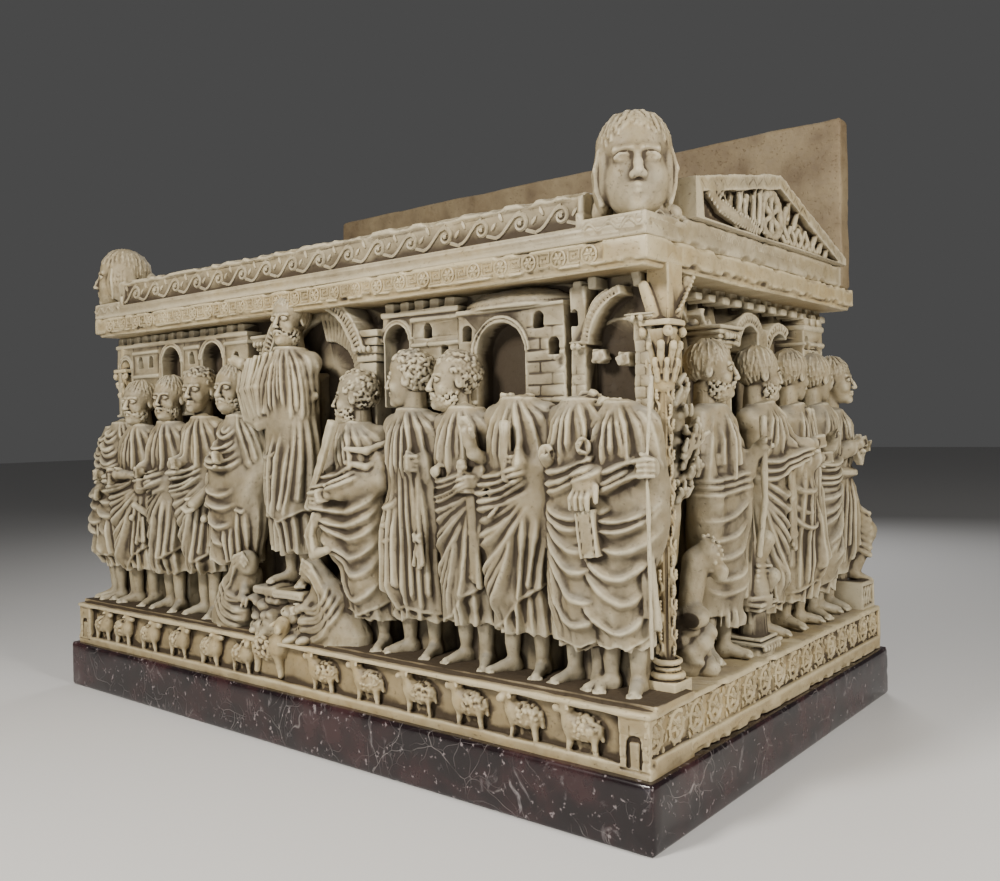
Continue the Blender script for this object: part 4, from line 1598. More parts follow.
def carve_left():
    step = STEP * 1.4
    stone = Stone((-0.618, -0.236, RELIEF_FOOT), (0.48, 0.05, RELIEF_TOP), step)
    stone.add(block((-0.618, 0.0, 0.2), (0.6, 0.2, 1.5)))
    for left in (-0.6, -0.24, 0.12):
        gate(stone, left, left + 0.3, 1.06, doors=((left + 0.15, 0.07, 1.255),),
             windows=((left + 0.04, 1.2), (left + 0.26, 1.2)), courses=(1.07,), pitch=0.075)
    set_figures(stone, LEFT_FIGURES)
    return stone


def carve_back():
    step = STEP * 2.2
    stone = Stone((-1.07, -0.075, RELIEF_FOOT), (1.07, 0.05, RELIEF_TOP), step)
    stone.add(block((-1.05, 0.0, 0.2), (1.05, 0.2, 1.5)))
    spots = np.linspace(-0.98, 0.98, 6)
    for x in spots:
        stone.add(block((x - 0.062, -0.03, 0.36), (x + 0.062, 0.02, 1.215), 0.006))
        stone.add(block((x - 0.08, -0.045, 0.28), (x + 0.08, 0.02, 0.365), 0.01))
        impost(stone, x - 0.062, x + 0.062, 1.19, 1.27, 0.026)
    for a, b in zip(spots, spots[1:]):
        stone.cut(arch((a + b) / 2, 1.085, 0.115, 0.45, -0.1, 0.018), 0.004)
        stone.add(hoop((a + b) / 2, 1.085, 0.147, 0.026, -0.022, 0.0), 0.004)
    return stone


# %% [markdown]
# ## Corner columns
# Slender columns at the front corners. Three vine stems wave up the shaft, with a leaf of
# three lobes in each bend. The capital has two rows of leaves under small volutes, and the
# base is three rounds on a square block.

# %% Corner columns
COLUMN_X, COLUMN_Y, SHAFT = 1.185, -0.59, 0.022


def carve_column():
    step = STEP * 0.62
    stone = Stone((1.12, -0.665, RELIEF_FOOT), (1.258, -0.49, RELIEF_TOP), step)
    x, y = COLUMN_X, COLUMN_Y

    def away(around, radius, z):
        return (x + radius * math.cos(around), y + radius * math.sin(around), z)

    stone.add(block((x - 0.044, y - 0.044, 0.3), (x + 0.044, y + 0.044, 0.342), 0.003))
    for z, radius, thick in ((0.351, 0.034, 0.01), (0.368, 0.028, 0.006), (0.384, 0.03, 0.008)):
        ring = [away(2 * math.pi * k / 16, radius, z) for k in range(17)]
        stone.strand(ring, (thick,) * 17)
    stone.add(bone((x, y, 0.33), (x, y, 1.3), SHAFT - 0.003), 0.004)
    # The vine: three stems that wave up the shaft, with a leaf of three lobes in each bend.
    rows = 54
    for strand in range(3):
        turn = 2 * math.pi * strand / 3
        stem = []
        for k in range(rows + 1):
            z = 0.4 + (1.048 - 0.4) * k / rows
            around = turn + 0.55 * math.sin(2 * math.pi * k / 6)
            stem.append(away(around, SHAFT - 0.002, z))
            if k % 3 == 1:
                side = math.copysign(1.0, -math.sin(2 * math.pi * k / 6) + 1e-3)
                for lobe in (-0.009, 0.0, 0.009):
                    stone.add(bone(away(around + side * 0.45, SHAFT - 0.001, z),
                                   away(around + side * 0.8, SHAFT + 0.001, z + lobe), 0.003, 0.0042), 0.0)
        stone.strand(stem, (0.0034,) * len(stem), 0.001)
    stone.add(bone((x, y, 1.047), (x, y, 1.057), SHAFT + 0.004), 0.002)
    # Capital: leaves in two rows, then volutes and a slab.
    stone.add(upright((1.055, 1.12, 1.18), (x,) * 3, y, (SHAFT, 0.026, 0.036), (SHAFT, 0.026, 0.036)), 0.004)
    for foot, tip_z, out, shift in ((1.058, 1.108, 0.012, 0.0), (1.078, 1.148, 0.016, 0.5)):
        for k in range(8):
            around = 2 * math.pi * (k + shift) / 8
            line = (away(around, 0.025, foot), away(around, 0.03, (foot + tip_z) / 2),
                    away(around, 0.025 + out, tip_z - 0.004), away(around, 0.027 + out, tip_z - 0.014))
            stone.strand(line, (0.0062, 0.0078, 0.0066, 0.0045), 0.002)
            for side in (-0.28, 0.28):
                stone.cut(bone(away(around + side * 0.6, 0.036, foot + 0.01),
                               away(around + side, 0.042, tip_z - 0.016), 0.0026))
    for sx in (-1, 1):
        for sy in (-1, 1):
            stone.add(lump((x + sx * 0.034, y + sy * 0.034, 1.174), (0.011, 0.011, 0.014)), 0.004)
            stone.cut(lump((x + sx * 0.043, y + sy * 0.04, 1.176), (0.004, 0.004, 0.005)))
    stone.add(block((x - 0.042, y - 0.042, 1.187), (x + 0.042, y + 0.042, 1.202), 0.003))
    stone.add(block((x - 0.03, y - 0.022, 1.2), (x + 0.03, y + 0.05, 1.34), 0.006))
    # What is left of the arches that sprang from it.
    stone.add(bone((x + 0.014, y + 0.024, 1.21), (x + 0.026, y + 0.076, 1.3), 0.02, 0.014), 0.008)
    stone.add(bone((x - 0.01, y - 0.02, 1.21), (x - 0.03, y - 0.034, 1.285), 0.017, 0.011), 0.008)
    for k in range(9):
        t = k / 8
        stone.add(bone((x + 0.024, y + 0.008 + 0.07 * t, 1.216 + 0.082 * t),
                       (x + 0.04, y + 0.014 + 0.07 * t, 1.226 + 0.082 * t), 0.0042, 0.0058), 0.001)
    return stone

# %% [markdown]
# ## The base band with its lambs
# Under the ledge runs a sunk band. On the front, lambs walk from both sides towards the
# middle one, each with a body of curled wool, four thin legs and a turned head. Little
# gate towers close the band at its two ends.

# %% Lambs
LAMB_SPOTS = ((0.14, -1), (0.34, -1), (0.53, -1), (0.715, -1), (0.89, -1), (1.06, -1),
              (-0.245, 1), (-0.415, 1), (-0.6, 1), (-0.775, 1), (-0.945, 1), (-1.095, 1))


def lamb(stone, x, facing, foot, size, out, rng, look=0.0):
    """A lamb that walks towards `facing`."""
    def at(along, up, forward=0.0):
        return (x + facing * along * size, -out - forward * size, foot + up * size)

    body = stone.piece_of((x - 0.13 * size / 0.1, -out - 0.08, foot - 0.01),
                          (x + 0.13 * size / 0.1, 0.03, foot + 1.35 * size))
    body.add(lump(at(-0.06, 0.5), (0.44 * size, 0.25 * size, 0.27 * size)))
    body.add(lump(at(0.27, 0.55, 0.03), (0.23 * size, 0.23 * size, 0.28 * size)), 0.014)
    body.add(bone(at(0.34, 0.66, 0.05), at(0.42, 0.88, 0.08), 0.17 * size, 0.14 * size), 0.012)
    turned = at(0.42 + 0.22 * math.cos(look), 0.9, 0.12 + 0.18 * abs(math.sin(look)))
    body.add(bone(at(0.4, 0.97, 0.08), turned, 0.145 * size, 0.085 * size), 0.008)
    body.add(bone(at(0.38, 1.02, 0.16), at(0.28, 0.95, 0.26), 0.05 * size, 0.04 * size), 0.003)
    for _ in range(230):
        way = Vector(rng.normal(0, 1, 3)).normalized()
        if way.y < 0.35:
            spot = at(-0.03 + 0.46 * way.x, 0.53 + 0.275 * way.z, -0.255 * way.y)
            body.add(lump(spot, (0.05 * size, 0.045 * size, 0.04 * size), tilt=rng.uniform(-1, 1)), 0.001)
    for along, forward, stride in ((0.3, 0.1, 0.05), (0.18, -0.06, -0.05), (-0.32, 0.1, -0.04),
                                   (-0.22, -0.06, 0.05)):
        body.strand((at(along, 0.38, forward), at(along + stride * 0.4, 0.18, forward),
                     at(along + stride, 0.02, forward)), (0.11 * size, 0.062 * size, 0.056 * size), 0.004)
    body.add(bone(at(-0.44, 0.6, 0.02), at(-0.5, 0.34, 0.02), 0.06 * size, 0.05 * size), 0.004)
    stone.join(body, 0.0)


def gate_tower(stone, left, right):
    """A closing tower with a barred door."""
    stone.add(block((left, -0.205, 0.168), (right, 0.02, 0.3), 0.004))
    bricks(stone, left, right, 0.175, 0.3, 0.205, 0.026)
    middle = (left + right) / 2
    stone.cut(arch(middle, 0.235, 0.02, 0.18, -0.3, -0.195))
    stone.add(block((middle - 0.013, -0.202, 0.18), (middle + 0.013, -0.19, 0.238), 0.002))


def carve_lambs():
    stone = Stone((-1.262, -0.222, 0.15), (1.262, 0.0, 0.318), STEP)
    rng = np.random.default_rng(100)
    stone.add(block((-1.25, -0.18, 0.1), (1.25, 0.3, 0.4)))
    stone.add(block((-1.25, -0.206, 0.1), (1.25, 0.3, 0.186), 0.004))
    stone.add(block((-1.25, -0.21, 0.296), (1.25, 0.3, 0.3085), 0.004))
    for x, facing in LAMB_SPOTS:
        lamb(stone, x + rng.uniform(-0.006, 0.006), facing, 0.186, 0.108, 0.184, rng,
             rng.choice((0.0, 0.3, 1.1)))
    gate_tower(stone, 1.165, 1.245)
    gate_tower(stone, -1.245, -1.17)
    # The sunk band of the right end runs on to the corner.
    stone.cut(block((BASE_END - BAND_SINK, -0.188, BAND_LOW), (BASE_END + 0.05, 0.3, BAND_HIGH), 0.002))
    return stone


def carve_big_lamb():
    """The middle lamb stands on the band and reaches up over the ledge, under the rock."""
    stone = Stone((-0.24, -0.236, 0.18), (0.06, 0.0, 0.46), STEP * 0.8)
    rng = np.random.default_rng(101)
    lamb(stone, -0.115, 1, 0.2, 0.165, 0.172, rng, 1.2)
    stone.cut(block((-0.3, -0.3, 0.1), (0.1, -0.2265, 0.5)), 0.01)
    return stone


# %% [markdown]
# ## Ornament in rows
# The rosettes, frets, scrolls and scallops repeat at an even pitch, so each is modelled
# once as a small stamp and a Geometry Nodes tree sets it out along a line. The tree ends
# in Realize Instances, because an exported model keeps only real meshes. A little random
# tilt and size, from a fixed seed, keeps the row from looking machine-made.

# %% Stamps
def tube_mesh(name, lines, sides=5):
    """Half-sunk rounds along lines of (x, y, z, radius)."""
    spots, faces = [], []
    for line in lines:
        line = np.asarray(line, float)
        base = len(spots)
        ahead = np.gradient(line[:, :3], axis=0)
        for spot, way in zip(line, ahead):
            across = np.cross(way, (0, 1, 0))
            across /= np.linalg.norm(across) + 1e-9
            for k in range(sides):
                angle = 2 * math.pi * k / sides
                ring = across * math.cos(angle) + np.array((0, 1, 0)) * math.sin(angle)
                spots.append(spot[:3] + ring * spot[3])
        for i in range(len(line) - 1):
            for k in range(sides):
                a, b = base + i * sides + k, base + i * sides + (k + 1) % sides
                faces.append((a, b, b + sides, a + sides))
        faces.append(tuple(base + k for k in range(sides))[::-1])
        faces.append(tuple(base + (len(line) - 1) * sides + k for k in range(sides)))
    mesh = bpy.data.meshes.new(name)
    mesh.from_pydata(spots, [], faces)
    mesh.validate()
    stamp = bpy.data.objects.new(name, mesh)
    return stamp


def spiral(x, z, start, turns, outer, inner, thick, count=16, way=1):
    line = []
    for k in range(count + 1):
        t = k / count
        angle = start + way * 2 * math.pi * turns * t
        radius = outer + (inner - outer) * t
        line.append((x + radius * math.cos(angle), 0, z + radius * math.sin(angle), thick * (1 - 0.35 * t)))
    return line


def bud(x, z, reach, turn, thick):
    return [(x + reach * t * math.cos(turn), 0, z + reach * t * math.sin(turn),
             thick * math.sin(math.pi * (0.15 + 0.8 * t))) for t in (0.0, 0.35, 0.7, 1.0)]


def scroll_stamp(pitch=0.13, height=0.06):
    """One wave of the running scroll: a stem that ends in a volute with an eye, and a bud."""
    r = height * 0.4
    stem = [(-pitch * 0.5 + pitch * t * 0.62, 0,
             -height * 0.46 + height * 0.92 * (0.5 - 0.5 * math.cos(math.pi * t)), 0.0055)
            for t in np.linspace(0, 1, 8)]
    volute = spiral(0.012, 0.0, 2.2, 1.25, r, r * 0.3, 0.0058, 18, -1)
    tail = [(0.012 + r * math.cos(a) + (pitch * 0.5 - 0.012 - r) * k / 5, 0,
             -r * math.sin(0.9 - k * 0.1) - 0.004 * k, 0.005) for k,
            a in enumerate(np.linspace(-0.6, -0.2, 6))]
    eye = [(0.012, 0.0, -0.005, 0.006), (0.012, -0.001, 0.0, 0.008), (0.012, 0.0, 0.005, 0.006)]
    return tube_mesh("scroll_stamp",
                     [stem, volute, tail, eye, bud(-pitch * 0.34, height * 0.2, 0.026, 2.0, 0.007),
                      bud(pitch * 0.36, -height * 0.1, 0.024, 0.9, 0.0065)])


def rosette_stamp(radius=0.023, petals=6):
    ring = [(radius * math.cos(a), 0, radius * math.sin(a), 0.0034) for a in np.linspace(0, 2 * math.pi, 19)]
    lines = [ring]
    for k in range(petals):
        lines.append(bud(0.003 * math.cos(k), 0.003 * math.sin(k), radius * 0.72,
                         2 * math.pi * k / petals, 0.0052))
    lines.append([(0, 0, -0.004, 0.004), (0, -0.001, 0, 0.0055), (0, 0, 0.004, 0.004)])
    return tube_mesh("rosette_stamp", lines)


def fret_stamp(half=0.019):
    """A square fret: a broken square round an inner hook."""
    h, q, t = half, half * 0.36, 0.0034
    outer = [(-h, 0, -h, t), (-h, 0, h, t), (h, 0, h, t), (h, 0, -q, t), (-q, 0, -q, t), (-q, 0, q, t),
             (q, 0, q, t)]
    base = [(-h, 0, -h, t), (h, 0, -h, t)]
    return tube_mesh("fret_stamp", [outer, base, [(-h * 1.25, 0, 0, t), (-h, 0, 0, t)]], 4)


def vine_stamp(pitch=0.0993, radius=0.036):
    """A leafy ring of the right end's band, with a flower inside and leaves in the corners."""
    ring = spiral(0, 0, math.pi * 0.5, 0.95, radius, radius * 0.86, 0.0072, 20)
    lines = [ring]
    for k in range(5):
        lines.append(bud(0.004 * math.cos(k * 1.3), 0.004 * math.sin(k * 1.3), radius * 0.6,
                         2 * math.pi * k / 5 + 0.3, 0.0085))
    lines.append([(0, 0, -0.006, 0.005), (0, -0.003, 0, 0.0085), (0, 0, 0.006, 0.005)])
    for k in range(9):
        way = 2 * math.pi * k / 9
        lines.append(bud(radius * 0.95 * math.cos(way), radius * 0.95 * math.sin(way), 0.013, way + 0.7,
                         0.0052))
    for sx in (-1, 1):
        for sz in (-1, 1):
            lines.append(bud(sx * pitch * 0.38, sz * 0.03, 0.02, math.atan2(sz, -sx * 0.3), 0.006))
    return tube_mesh("vine_stamp", lines)


def scallop_stamp(radius=0.03):
    """Concentric arcs of the lid's side band."""
    lines = []
    for r in (radius, radius * 0.66):
        lines.append([(r * math.cos(a), 0, r * math.sin(a) - 0.01, 0.0022)
                      for a in np.linspace(0.1, math.pi - 0.1, 9)])
    return tube_mesh("scallop_stamp", lines, 4)


# %% The row tree
def row_tree():
    tree = bpy.data.node_groups.new("ornament_row", "GeometryNodeTree")
    face = tree.interface
    face.new_socket("Geometry", in_out="INPUT", socket_type="NodeSocketGeometry")
    for name, kind in (("Stamp", "Object"), ("Count", "Int"), ("Start", "Vector"), ("Step", "Vector"),
                       ("Turn", "Rotation"), ("Tilt", "Float"), ("Uneven Size", "Float"), ("Seed", "Int"),
                       ("Material", "Material")):
        face.new_socket(name, in_out="INPUT", socket_type="NodeSocket" + kind)
    face.new_socket("Geometry", in_out="OUTPUT", socket_type="NodeSocketGeometry")
    nodes, links = tree.nodes, tree.links
    inputs = nodes.new("NodeGroupInput").outputs
    line = nodes.new("GeometryNodeMeshLine")
    links.new(inputs["Count"], line.inputs["Count"])
    links.new(inputs["Start"], line.inputs["Start Location"])
    links.new(inputs["Step"], line.inputs["Offset"])
    stamp = nodes.new("GeometryNodeObjectInfo")
    links.new(inputs["Stamp"], stamp.inputs["Object"])
    tilt = nodes.new("FunctionNodeRandomValue")
    low = nodes.new("ShaderNodeMath")
    low.operation = "MULTIPLY"
    low.inputs[1].default_value = -1.0
    links.new(inputs["Tilt"], low.inputs[0])
    links.new(low.outputs[0], tilt.inputs[2])
    links.new(inputs["Tilt"], tilt.inputs[3])
    links.new(inputs["Seed"], tilt.inputs["Seed"])
    spin = nodes.new("FunctionNodeAxisAngleToRotation")
    spin.inputs["Axis"].default_value = (0, 1, 0)
    links.new(tilt.outputs[1], spin.inputs["Angle"])
    turn = nodes.new("FunctionNodeRotateRotation")
    turn.rotation_space = "LOCAL"
    links.new(inputs["Turn"], turn.inputs["Rotation"])
    links.new(spin.outputs["Rotation"], turn.inputs["Rotate By"])
    size = nodes.new("FunctionNodeRandomValue")
    smaller, larger = nodes.new("ShaderNodeMath"), nodes.new("ShaderNodeMath")
    smaller.operation, larger.operation = "SUBTRACT", "ADD"
    for node, socket in ((smaller, 2), (larger, 3)):
        node.inputs[0].default_value = 1.0
        links.new(inputs["Uneven Size"], node.inputs[1])
        links.new(node.outputs[0], size.inputs[socket])
    links.new(inputs["Seed"], size.inputs["Seed"])
    put = nodes.new("GeometryNodeInstanceOnPoints")
    links.new(line.outputs["Mesh"], put.inputs["Points"])
    links.new(stamp.outputs["Geometry"], put.inputs["Instance"])
    links.new(turn.outputs["Rotation"], put.inputs["Rotation"])
    links.new(size.outputs[1], put.inputs["Scale"])
    real = nodes.new("GeometryNodeRealizeInstances")
    links.new(put.outputs["Instances"], real.inputs["Geometry"])
    dress = nodes.new("GeometryNodeSetMaterial")
    links.new(real.outputs["Geometry"], dress.inputs["Geometry"])
    links.new(inputs["Material"], dress.inputs["Material"])
    output = nodes.new("NodeGroupOutput")
    links.new(dress.outputs["Geometry"], output.inputs["Geometry"])
    return tree


ornament_row = row_tree()


def row(stamp, start, step, count, turn=0.0, tilt=0.03, uneven=0.05, seed=1):
    """Spots and triangles of one row of stamps; `turn` faces it to a side of the chest."""
    carrier = bpy.data.objects.new("row", bpy.data.meshes.new("row"))
    bpy.context.scene.collection.objects.link(carrier)
    bpy.context.scene.collection.objects.link(stamp)
    modifier = carrier.modifiers.new("row", "NODES")
    modifier.node_group = ornament_row
    values = {"Stamp": stamp, "Count": count, "Start": start, "Step": step, "Turn": (0.0, 0.0, turn),
              "Tilt": tilt, "Uneven Size": uneven, "Seed": seed}
    for socket in ornament_row.interface.items_tree:
        if socket.in_out == "INPUT" and socket.name in values:
            modifier[socket.identifier] = values[socket.name]
    mesh = settled(carrier)
    bpy.context.scene.collection.objects.unlink(stamp)
    bpy.data.objects.remove(carrier)
    spots, triangles = spots_of(mesh), triangles_of(mesh)
    # Carved ornament is no cleaner than the rest: its hollowness follows its own relief.
    return Skin(spots, triangles, np.full((len(spots), 2), 0.4, np.float32))

# %% [markdown]
# ## The hollow core, ledge and top band
# Behind the relief the chest is a plain trough with thick walls. It is carved in the same
# way, on a coarser grid, with its ledge, base and top band; the relief blocks lie on it.

# %% The trough
HOLLOW_X, HOLLOW_Y, HOLLOW_FLOOR = 0.95, 0.46, 0.42
BAND_SINK = 0.014


def carve_core():
    step = 0.005
    stone = Stone((-1.262, -0.812, 0.158), (1.262, 0.8, 1.394), step)
    low, high = CHEST_FOOT, CHEST_TOP
    stone.add(block((-1.01, -0.55, low), (1.01, 0.568, high)))
    stone.add(block((-1.25, -0.6, low), (BASE_END, BASE_FRONT, LEDGE), 0.005))
    # The sunk band of the right end.
    stone.cut(block((BASE_END - BAND_SINK, -0.7, BAND_LOW), (BASE_END + 0.05, 0.77, BAND_HIGH), 0.002))
    # Top band: a plain face over a hollow moulding.
    for half_x, front, back, foot in ((CORNICE_END, -CORNICE_FRONT, CORNICE_BACK, RIM),
                                      (CORNICE_END - 0.012, -CORNICE_FRONT + 0.012, CORNICE_BACK - 0.01,
                                       1.322)):
        stone.add(block((-half_x, front, foot), (half_x, back, high), 0.003), 0.004)
    stone.cut(block((-1.14, -0.72, 1.3425), (1.095, -CORNICE_FRONT + 0.004, 1.3795)))
    stone.cut(block((-HOLLOW_X, -HOLLOW_Y, HOLLOW_FLOOR), (HOLLOW_X, HOLLOW_Y, 1.5), 0.012))
    rng = np.random.default_rng(120)
    for _ in range(60):
        x = rng.uniform(-1.2, 1.2)
        size = rng.uniform(0.004, 0.014)
        edge = rng.choice((RIM, CHEST_TOP))
        stone.cut(lump((x, -CORNICE_FRONT, edge), (size * 2, size, size)), 0.004)
        y = rng.uniform(-0.7, 0.64)
        stone.cut(lump((CORNICE_END, y, edge), (size, size * 2.2, size)), 0.004)
        stone.cut(lump((rng.uniform(-1.2, 1.2), -0.788, LEDGE), (size * 2, size * 0.8, size * 0.6)), 0.003)
        stone.cut(lump((BASE_END, rng.uniform(-0.75, 0.77), rng.choice((LEDGE, 0.165))),
                       (size * 0.8, size * 2, size)), 0.003)
    return stone


# %% [markdown]
# ## The lid
# One block: a front panel with a sunk frame, a low gabled roof and the two gables. The
# right gable is sunk and drilled between its figures, so it is carved on a finer grid. A
# large head of a youth stands at each front corner, on a block with a wavy ribbon.

# %% The lid
ROOF_FRONT, ROOF_BACK, APEX_Y = -0.497, 0.546, 0.02
EAVE_FRONT, EAVE_BACK, APEX = 1.559, 1.48, 1.655
LID_FOOT = lid_low.z
LID_BAND, PANEL_TOP = 1.463, 1.518
LID_END, LID_FRONT = 1.214, 0.7095


def roof_height(y):
    return np.interp(y, (ROOF_FRONT, APEX_Y, ROOF_BACK), (EAVE_FRONT, APEX, EAVE_BACK))


def roof_prism(x0, x1, drop=0.0, low=LID_FOOT, y0=ROOF_FRONT, y1=ROOF_BACK):
    """The space under the roof line, between two ends."""
    def distance(x, y, z):
        over = (z - (roof_height(y) - drop)) * 0.96
        sides = np.maximum(np.maximum(x0 - x, x - x1), np.maximum(y0 - y, y - y1))
        return np.maximum(np.maximum(over, low - z), sides).astype(np.float32)

    return Shape((x0, y0, low), (x1, y1, APEX), distance)


def carve_lid():
    step = 0.005
    stone = Stone((-1.256, -0.716, 1.386), (1.256, 0.556, 1.665), step)
    stone.add(block((-LID_END, -LID_FRONT, LID_FOOT), (LID_END, 0.546, LID_BAND), 0.004))
    for sign in (-1, 1):
        stone.cut(block((sign * 1.14 - 0.1, -0.75, 1.442), (sign * 1.14 + 0.1, -0.52, 1.5), 0.004), 0.006)
    stone.add(block((-1.055, -0.7, 1.4), (1.035, -0.605, PANEL_TOP), 0.006), 0.004)
    stone.cut(block((-1.02, -0.73, 1.43), (1.02, -0.6935, 1.503), 0.002))
    stone.add(block((-LID_END, -LID_FRONT, 1.408), (LID_END, -0.69, 1.424), 0.005), 0.003)
    stone.add(roof_prism(-1.165, 1.15))
    stone.cut(block((-1.1, -0.6, 1.47), (1.1, -0.515, 1.6), 0.01))
    rng = np.random.default_rng(130)
    for _ in range(70):
        size = rng.uniform(0.004, 0.013)
        stone.cut(lump((rng.uniform(-1.03, 1.03), -0.7, PANEL_TOP), (size * 2.5, size * 1.6, size)), 0.004)
        stone.cut(lump((LID_END, rng.uniform(-0.68, 0.52), rng.choice((LID_FOOT, LID_BAND))),
                       (size, size * 2.5, size)), 0.004)
    return stone


def carve_gable():
    """The right gable: rake mouldings round openwork of a wreath, a star and lattice strips."""
    stone = Stone((1.1, -0.53, 1.452), (1.252, 0.56, 1.668), STEP * 0.85)
    stone.add(roof_prism(1.12, 1.232, 0.0, 1.4))
    field_panel = roof_prism(1.205, 1.4, 0.04, 1.462, -0.455, 0.47)
    stone.cut(field_panel)
    # A ledge of zigzag along the rake.
    for ya, yb, count in ((-0.47, APEX_Y, 16), (APEX_Y, 0.51, 17)):
        for i in range(count):
            t = (i + 0.5) / count
            y, z = ya + (yb - ya) * t, float(roof_height(ya + (yb - ya) * t)) - 0.02
            up = 0.01 if i % 2 else -0.01
            stone.cut(bone((1.234, y - 0.012, z - up), (1.234, y + 0.012, z + up), 0.0035))
    # What stands in the openwork: it is added on the floor of the panel, 26 mm deep.
    x = 1.218
    wreath_y, wreath_z, wreath_r = -0.025, 1.534, 0.062
    add = lambda a, b, r=0.01: stone.add(bone((x, *a), (x, *b), r), 0.003)
    for k in range(20):
        a, b = 2 * math.pi * k / 20, 2 * math.pi * (k + 1) / 20
        spot = lambda t, r: (wreath_y + r * math.cos(t), wreath_z + r * math.sin(t))
        add(spot(a, wreath_r), spot(b, wreath_r), 0.0105)
        add(spot(a, wreath_r), spot(a + 0.22, wreath_r + 0.012), 0.005)
    for k in range(6):
        way = math.pi * k / 3 + math.pi / 6
        add((wreath_y, wreath_z),
            (wreath_y + wreath_r * math.cos(way), wreath_z + wreath_r * math.sin(way)), 0.0075)
        tip = (wreath_y + wreath_r * 0.8 * math.cos(way), wreath_z + wreath_r * 0.8 * math.sin(way))
        stone.add(lump((x, *tip), (0.01, 0.012, 0.012)), 0.003)
    # A reclining figure and standing strips to the left, under the rake.
    line = ((-0.41, 1.535), (-0.35, 1.505), (-0.27, 1.492), (-0.19, 1.484), (-0.12, 1.478))
    for (a, b), thick in zip(zip(line, line[1:]), (0.015, 0.018, 0.016, 0.012)):
        add(a, b, thick)
    for k in range(20):
        y = -0.41 + 0.0145 * k
        z = float(np.interp(y, [p[0] for p in line], [p[1] for p in line]))
        stone.add(bone((1.226, y - 0.008, z - 0.014), (1.23, y + 0.004, z + 0.016), 0.0042, 0.0036), 0.001)
    stone.add(lump((x, -0.372, 1.553), (0.02, 0.02, 0.022)), 0.006)
    for y, tall in ((-0.24, 0.075), (-0.205, 0.06), (-0.15, 0.085), (-0.11, 0.1)):
        add((y, 1.5), (y + 0.02, 1.5 + tall), 0.0085)
        add((y + 0.022, 1.5), (y + 0.006, 1.5 + tall * 0.8), 0.006)
    for first, last, low_z, high_z, count in ((-0.27, -0.09, 1.464, 1.488, 8),
                                              (0.055, 0.33, 1.464, 1.486, 12), (0.06, 0.25, 1.49, 1.52, 7)):
        for i in range(count):
            a = first + (last - first) * i / count
            b = first + (last - first) * (i + 1) / count
            z0, z1 = (low_z, high_z) if i % 2 else (high_z, low_z)
            add((a, z0), (b, z1), 0.0062)
    for y, z, lean in ((0.075, 1.545, 0.4), (0.105, 1.56, -0.3), (0.15, 1.54, 0.5), (0.3, 1.51, 0.7),
                       (0.35, 1.495, 0.5), (0.4, 1.484, 0.4), (-0.32, 1.56, -0.5)):
        add((y - 0.018, z - 0.018), (y + 0.022 * lean, z + 0.024), 0.009)
    # Drilled holes behind the openwork, between the wreath's arms and the strips.
    holes = [(wreath_y + 0.036 * math.cos(math.pi * k / 3), wreath_z + 0.036 * math.sin(math.pi * k / 3))
             for k in range(6)]
    holes += [(-0.335, 1.53), (-0.29, 1.535), (-0.262, 1.552), (-0.182, 1.53), (-0.17, 1.566), (-0.13, 1.55),
              (-0.1, 1.52), (-0.225, 1.545), (0.055, 1.56), (0.09, 1.535), (0.13, 1.522), (0.18, 1.535),
              (0.215, 1.53), (0.26, 1.51), (0.325, 1.5), (0.375, 1.486), (-0.06, 1.6), (-0.11, 1.592)]
    for y, z in holes:
        stone.cut(bone((1.208, y, z), (1.168, y, z), 0.0115, 0.009), 0.002)
    stone.cut(block((1.1, -0.6, 1.4), (1.3, 0.6, 1.456)))
    return stone


def carve_corner_head(sign, size):
    """A youth's head: a cap of short locks, a fringe, and longer side locks by the cheeks."""
    stone = Stone((-0.62, -0.6, -0.26), (0.62, 0.62, 1.13), (0.0029) / size)
    rng = np.random.default_rng(140 + sign)
    face(stone)
    stone.add(lump((0, -0.16, 0.32), (0.3, 0.24, 0.34)), 0.06)
    for sx in (-1, 1):
        stone.add(lump((sx * 0.3, 0.02, 0.42), (0.095, 0.24, 0.36)), 0.06)
        for k in range(5):
            y = -0.135 + 0.055 * k
            line = ((sx * 0.335, y, 0.62), (sx * 0.375, y - 0.01, 0.44), (sx * 0.355, y + 0.008, 0.26),
                    (sx * 0.32, y, 0.12))
            stone.strand(line, (0.03, 0.034, 0.031, 0.02), 0.01)
            for z in (0.5, 0.38, 0.27, 0.19):
                stone.cut(lump((sx * 0.412, y + 0.02, z + 0.02 * (k % 2)), (0.03, 0.01, 0.018)), 0.004)
    comb_hair(stone, rng, 34, 0.3, 0.815, 1.03)
    return stone


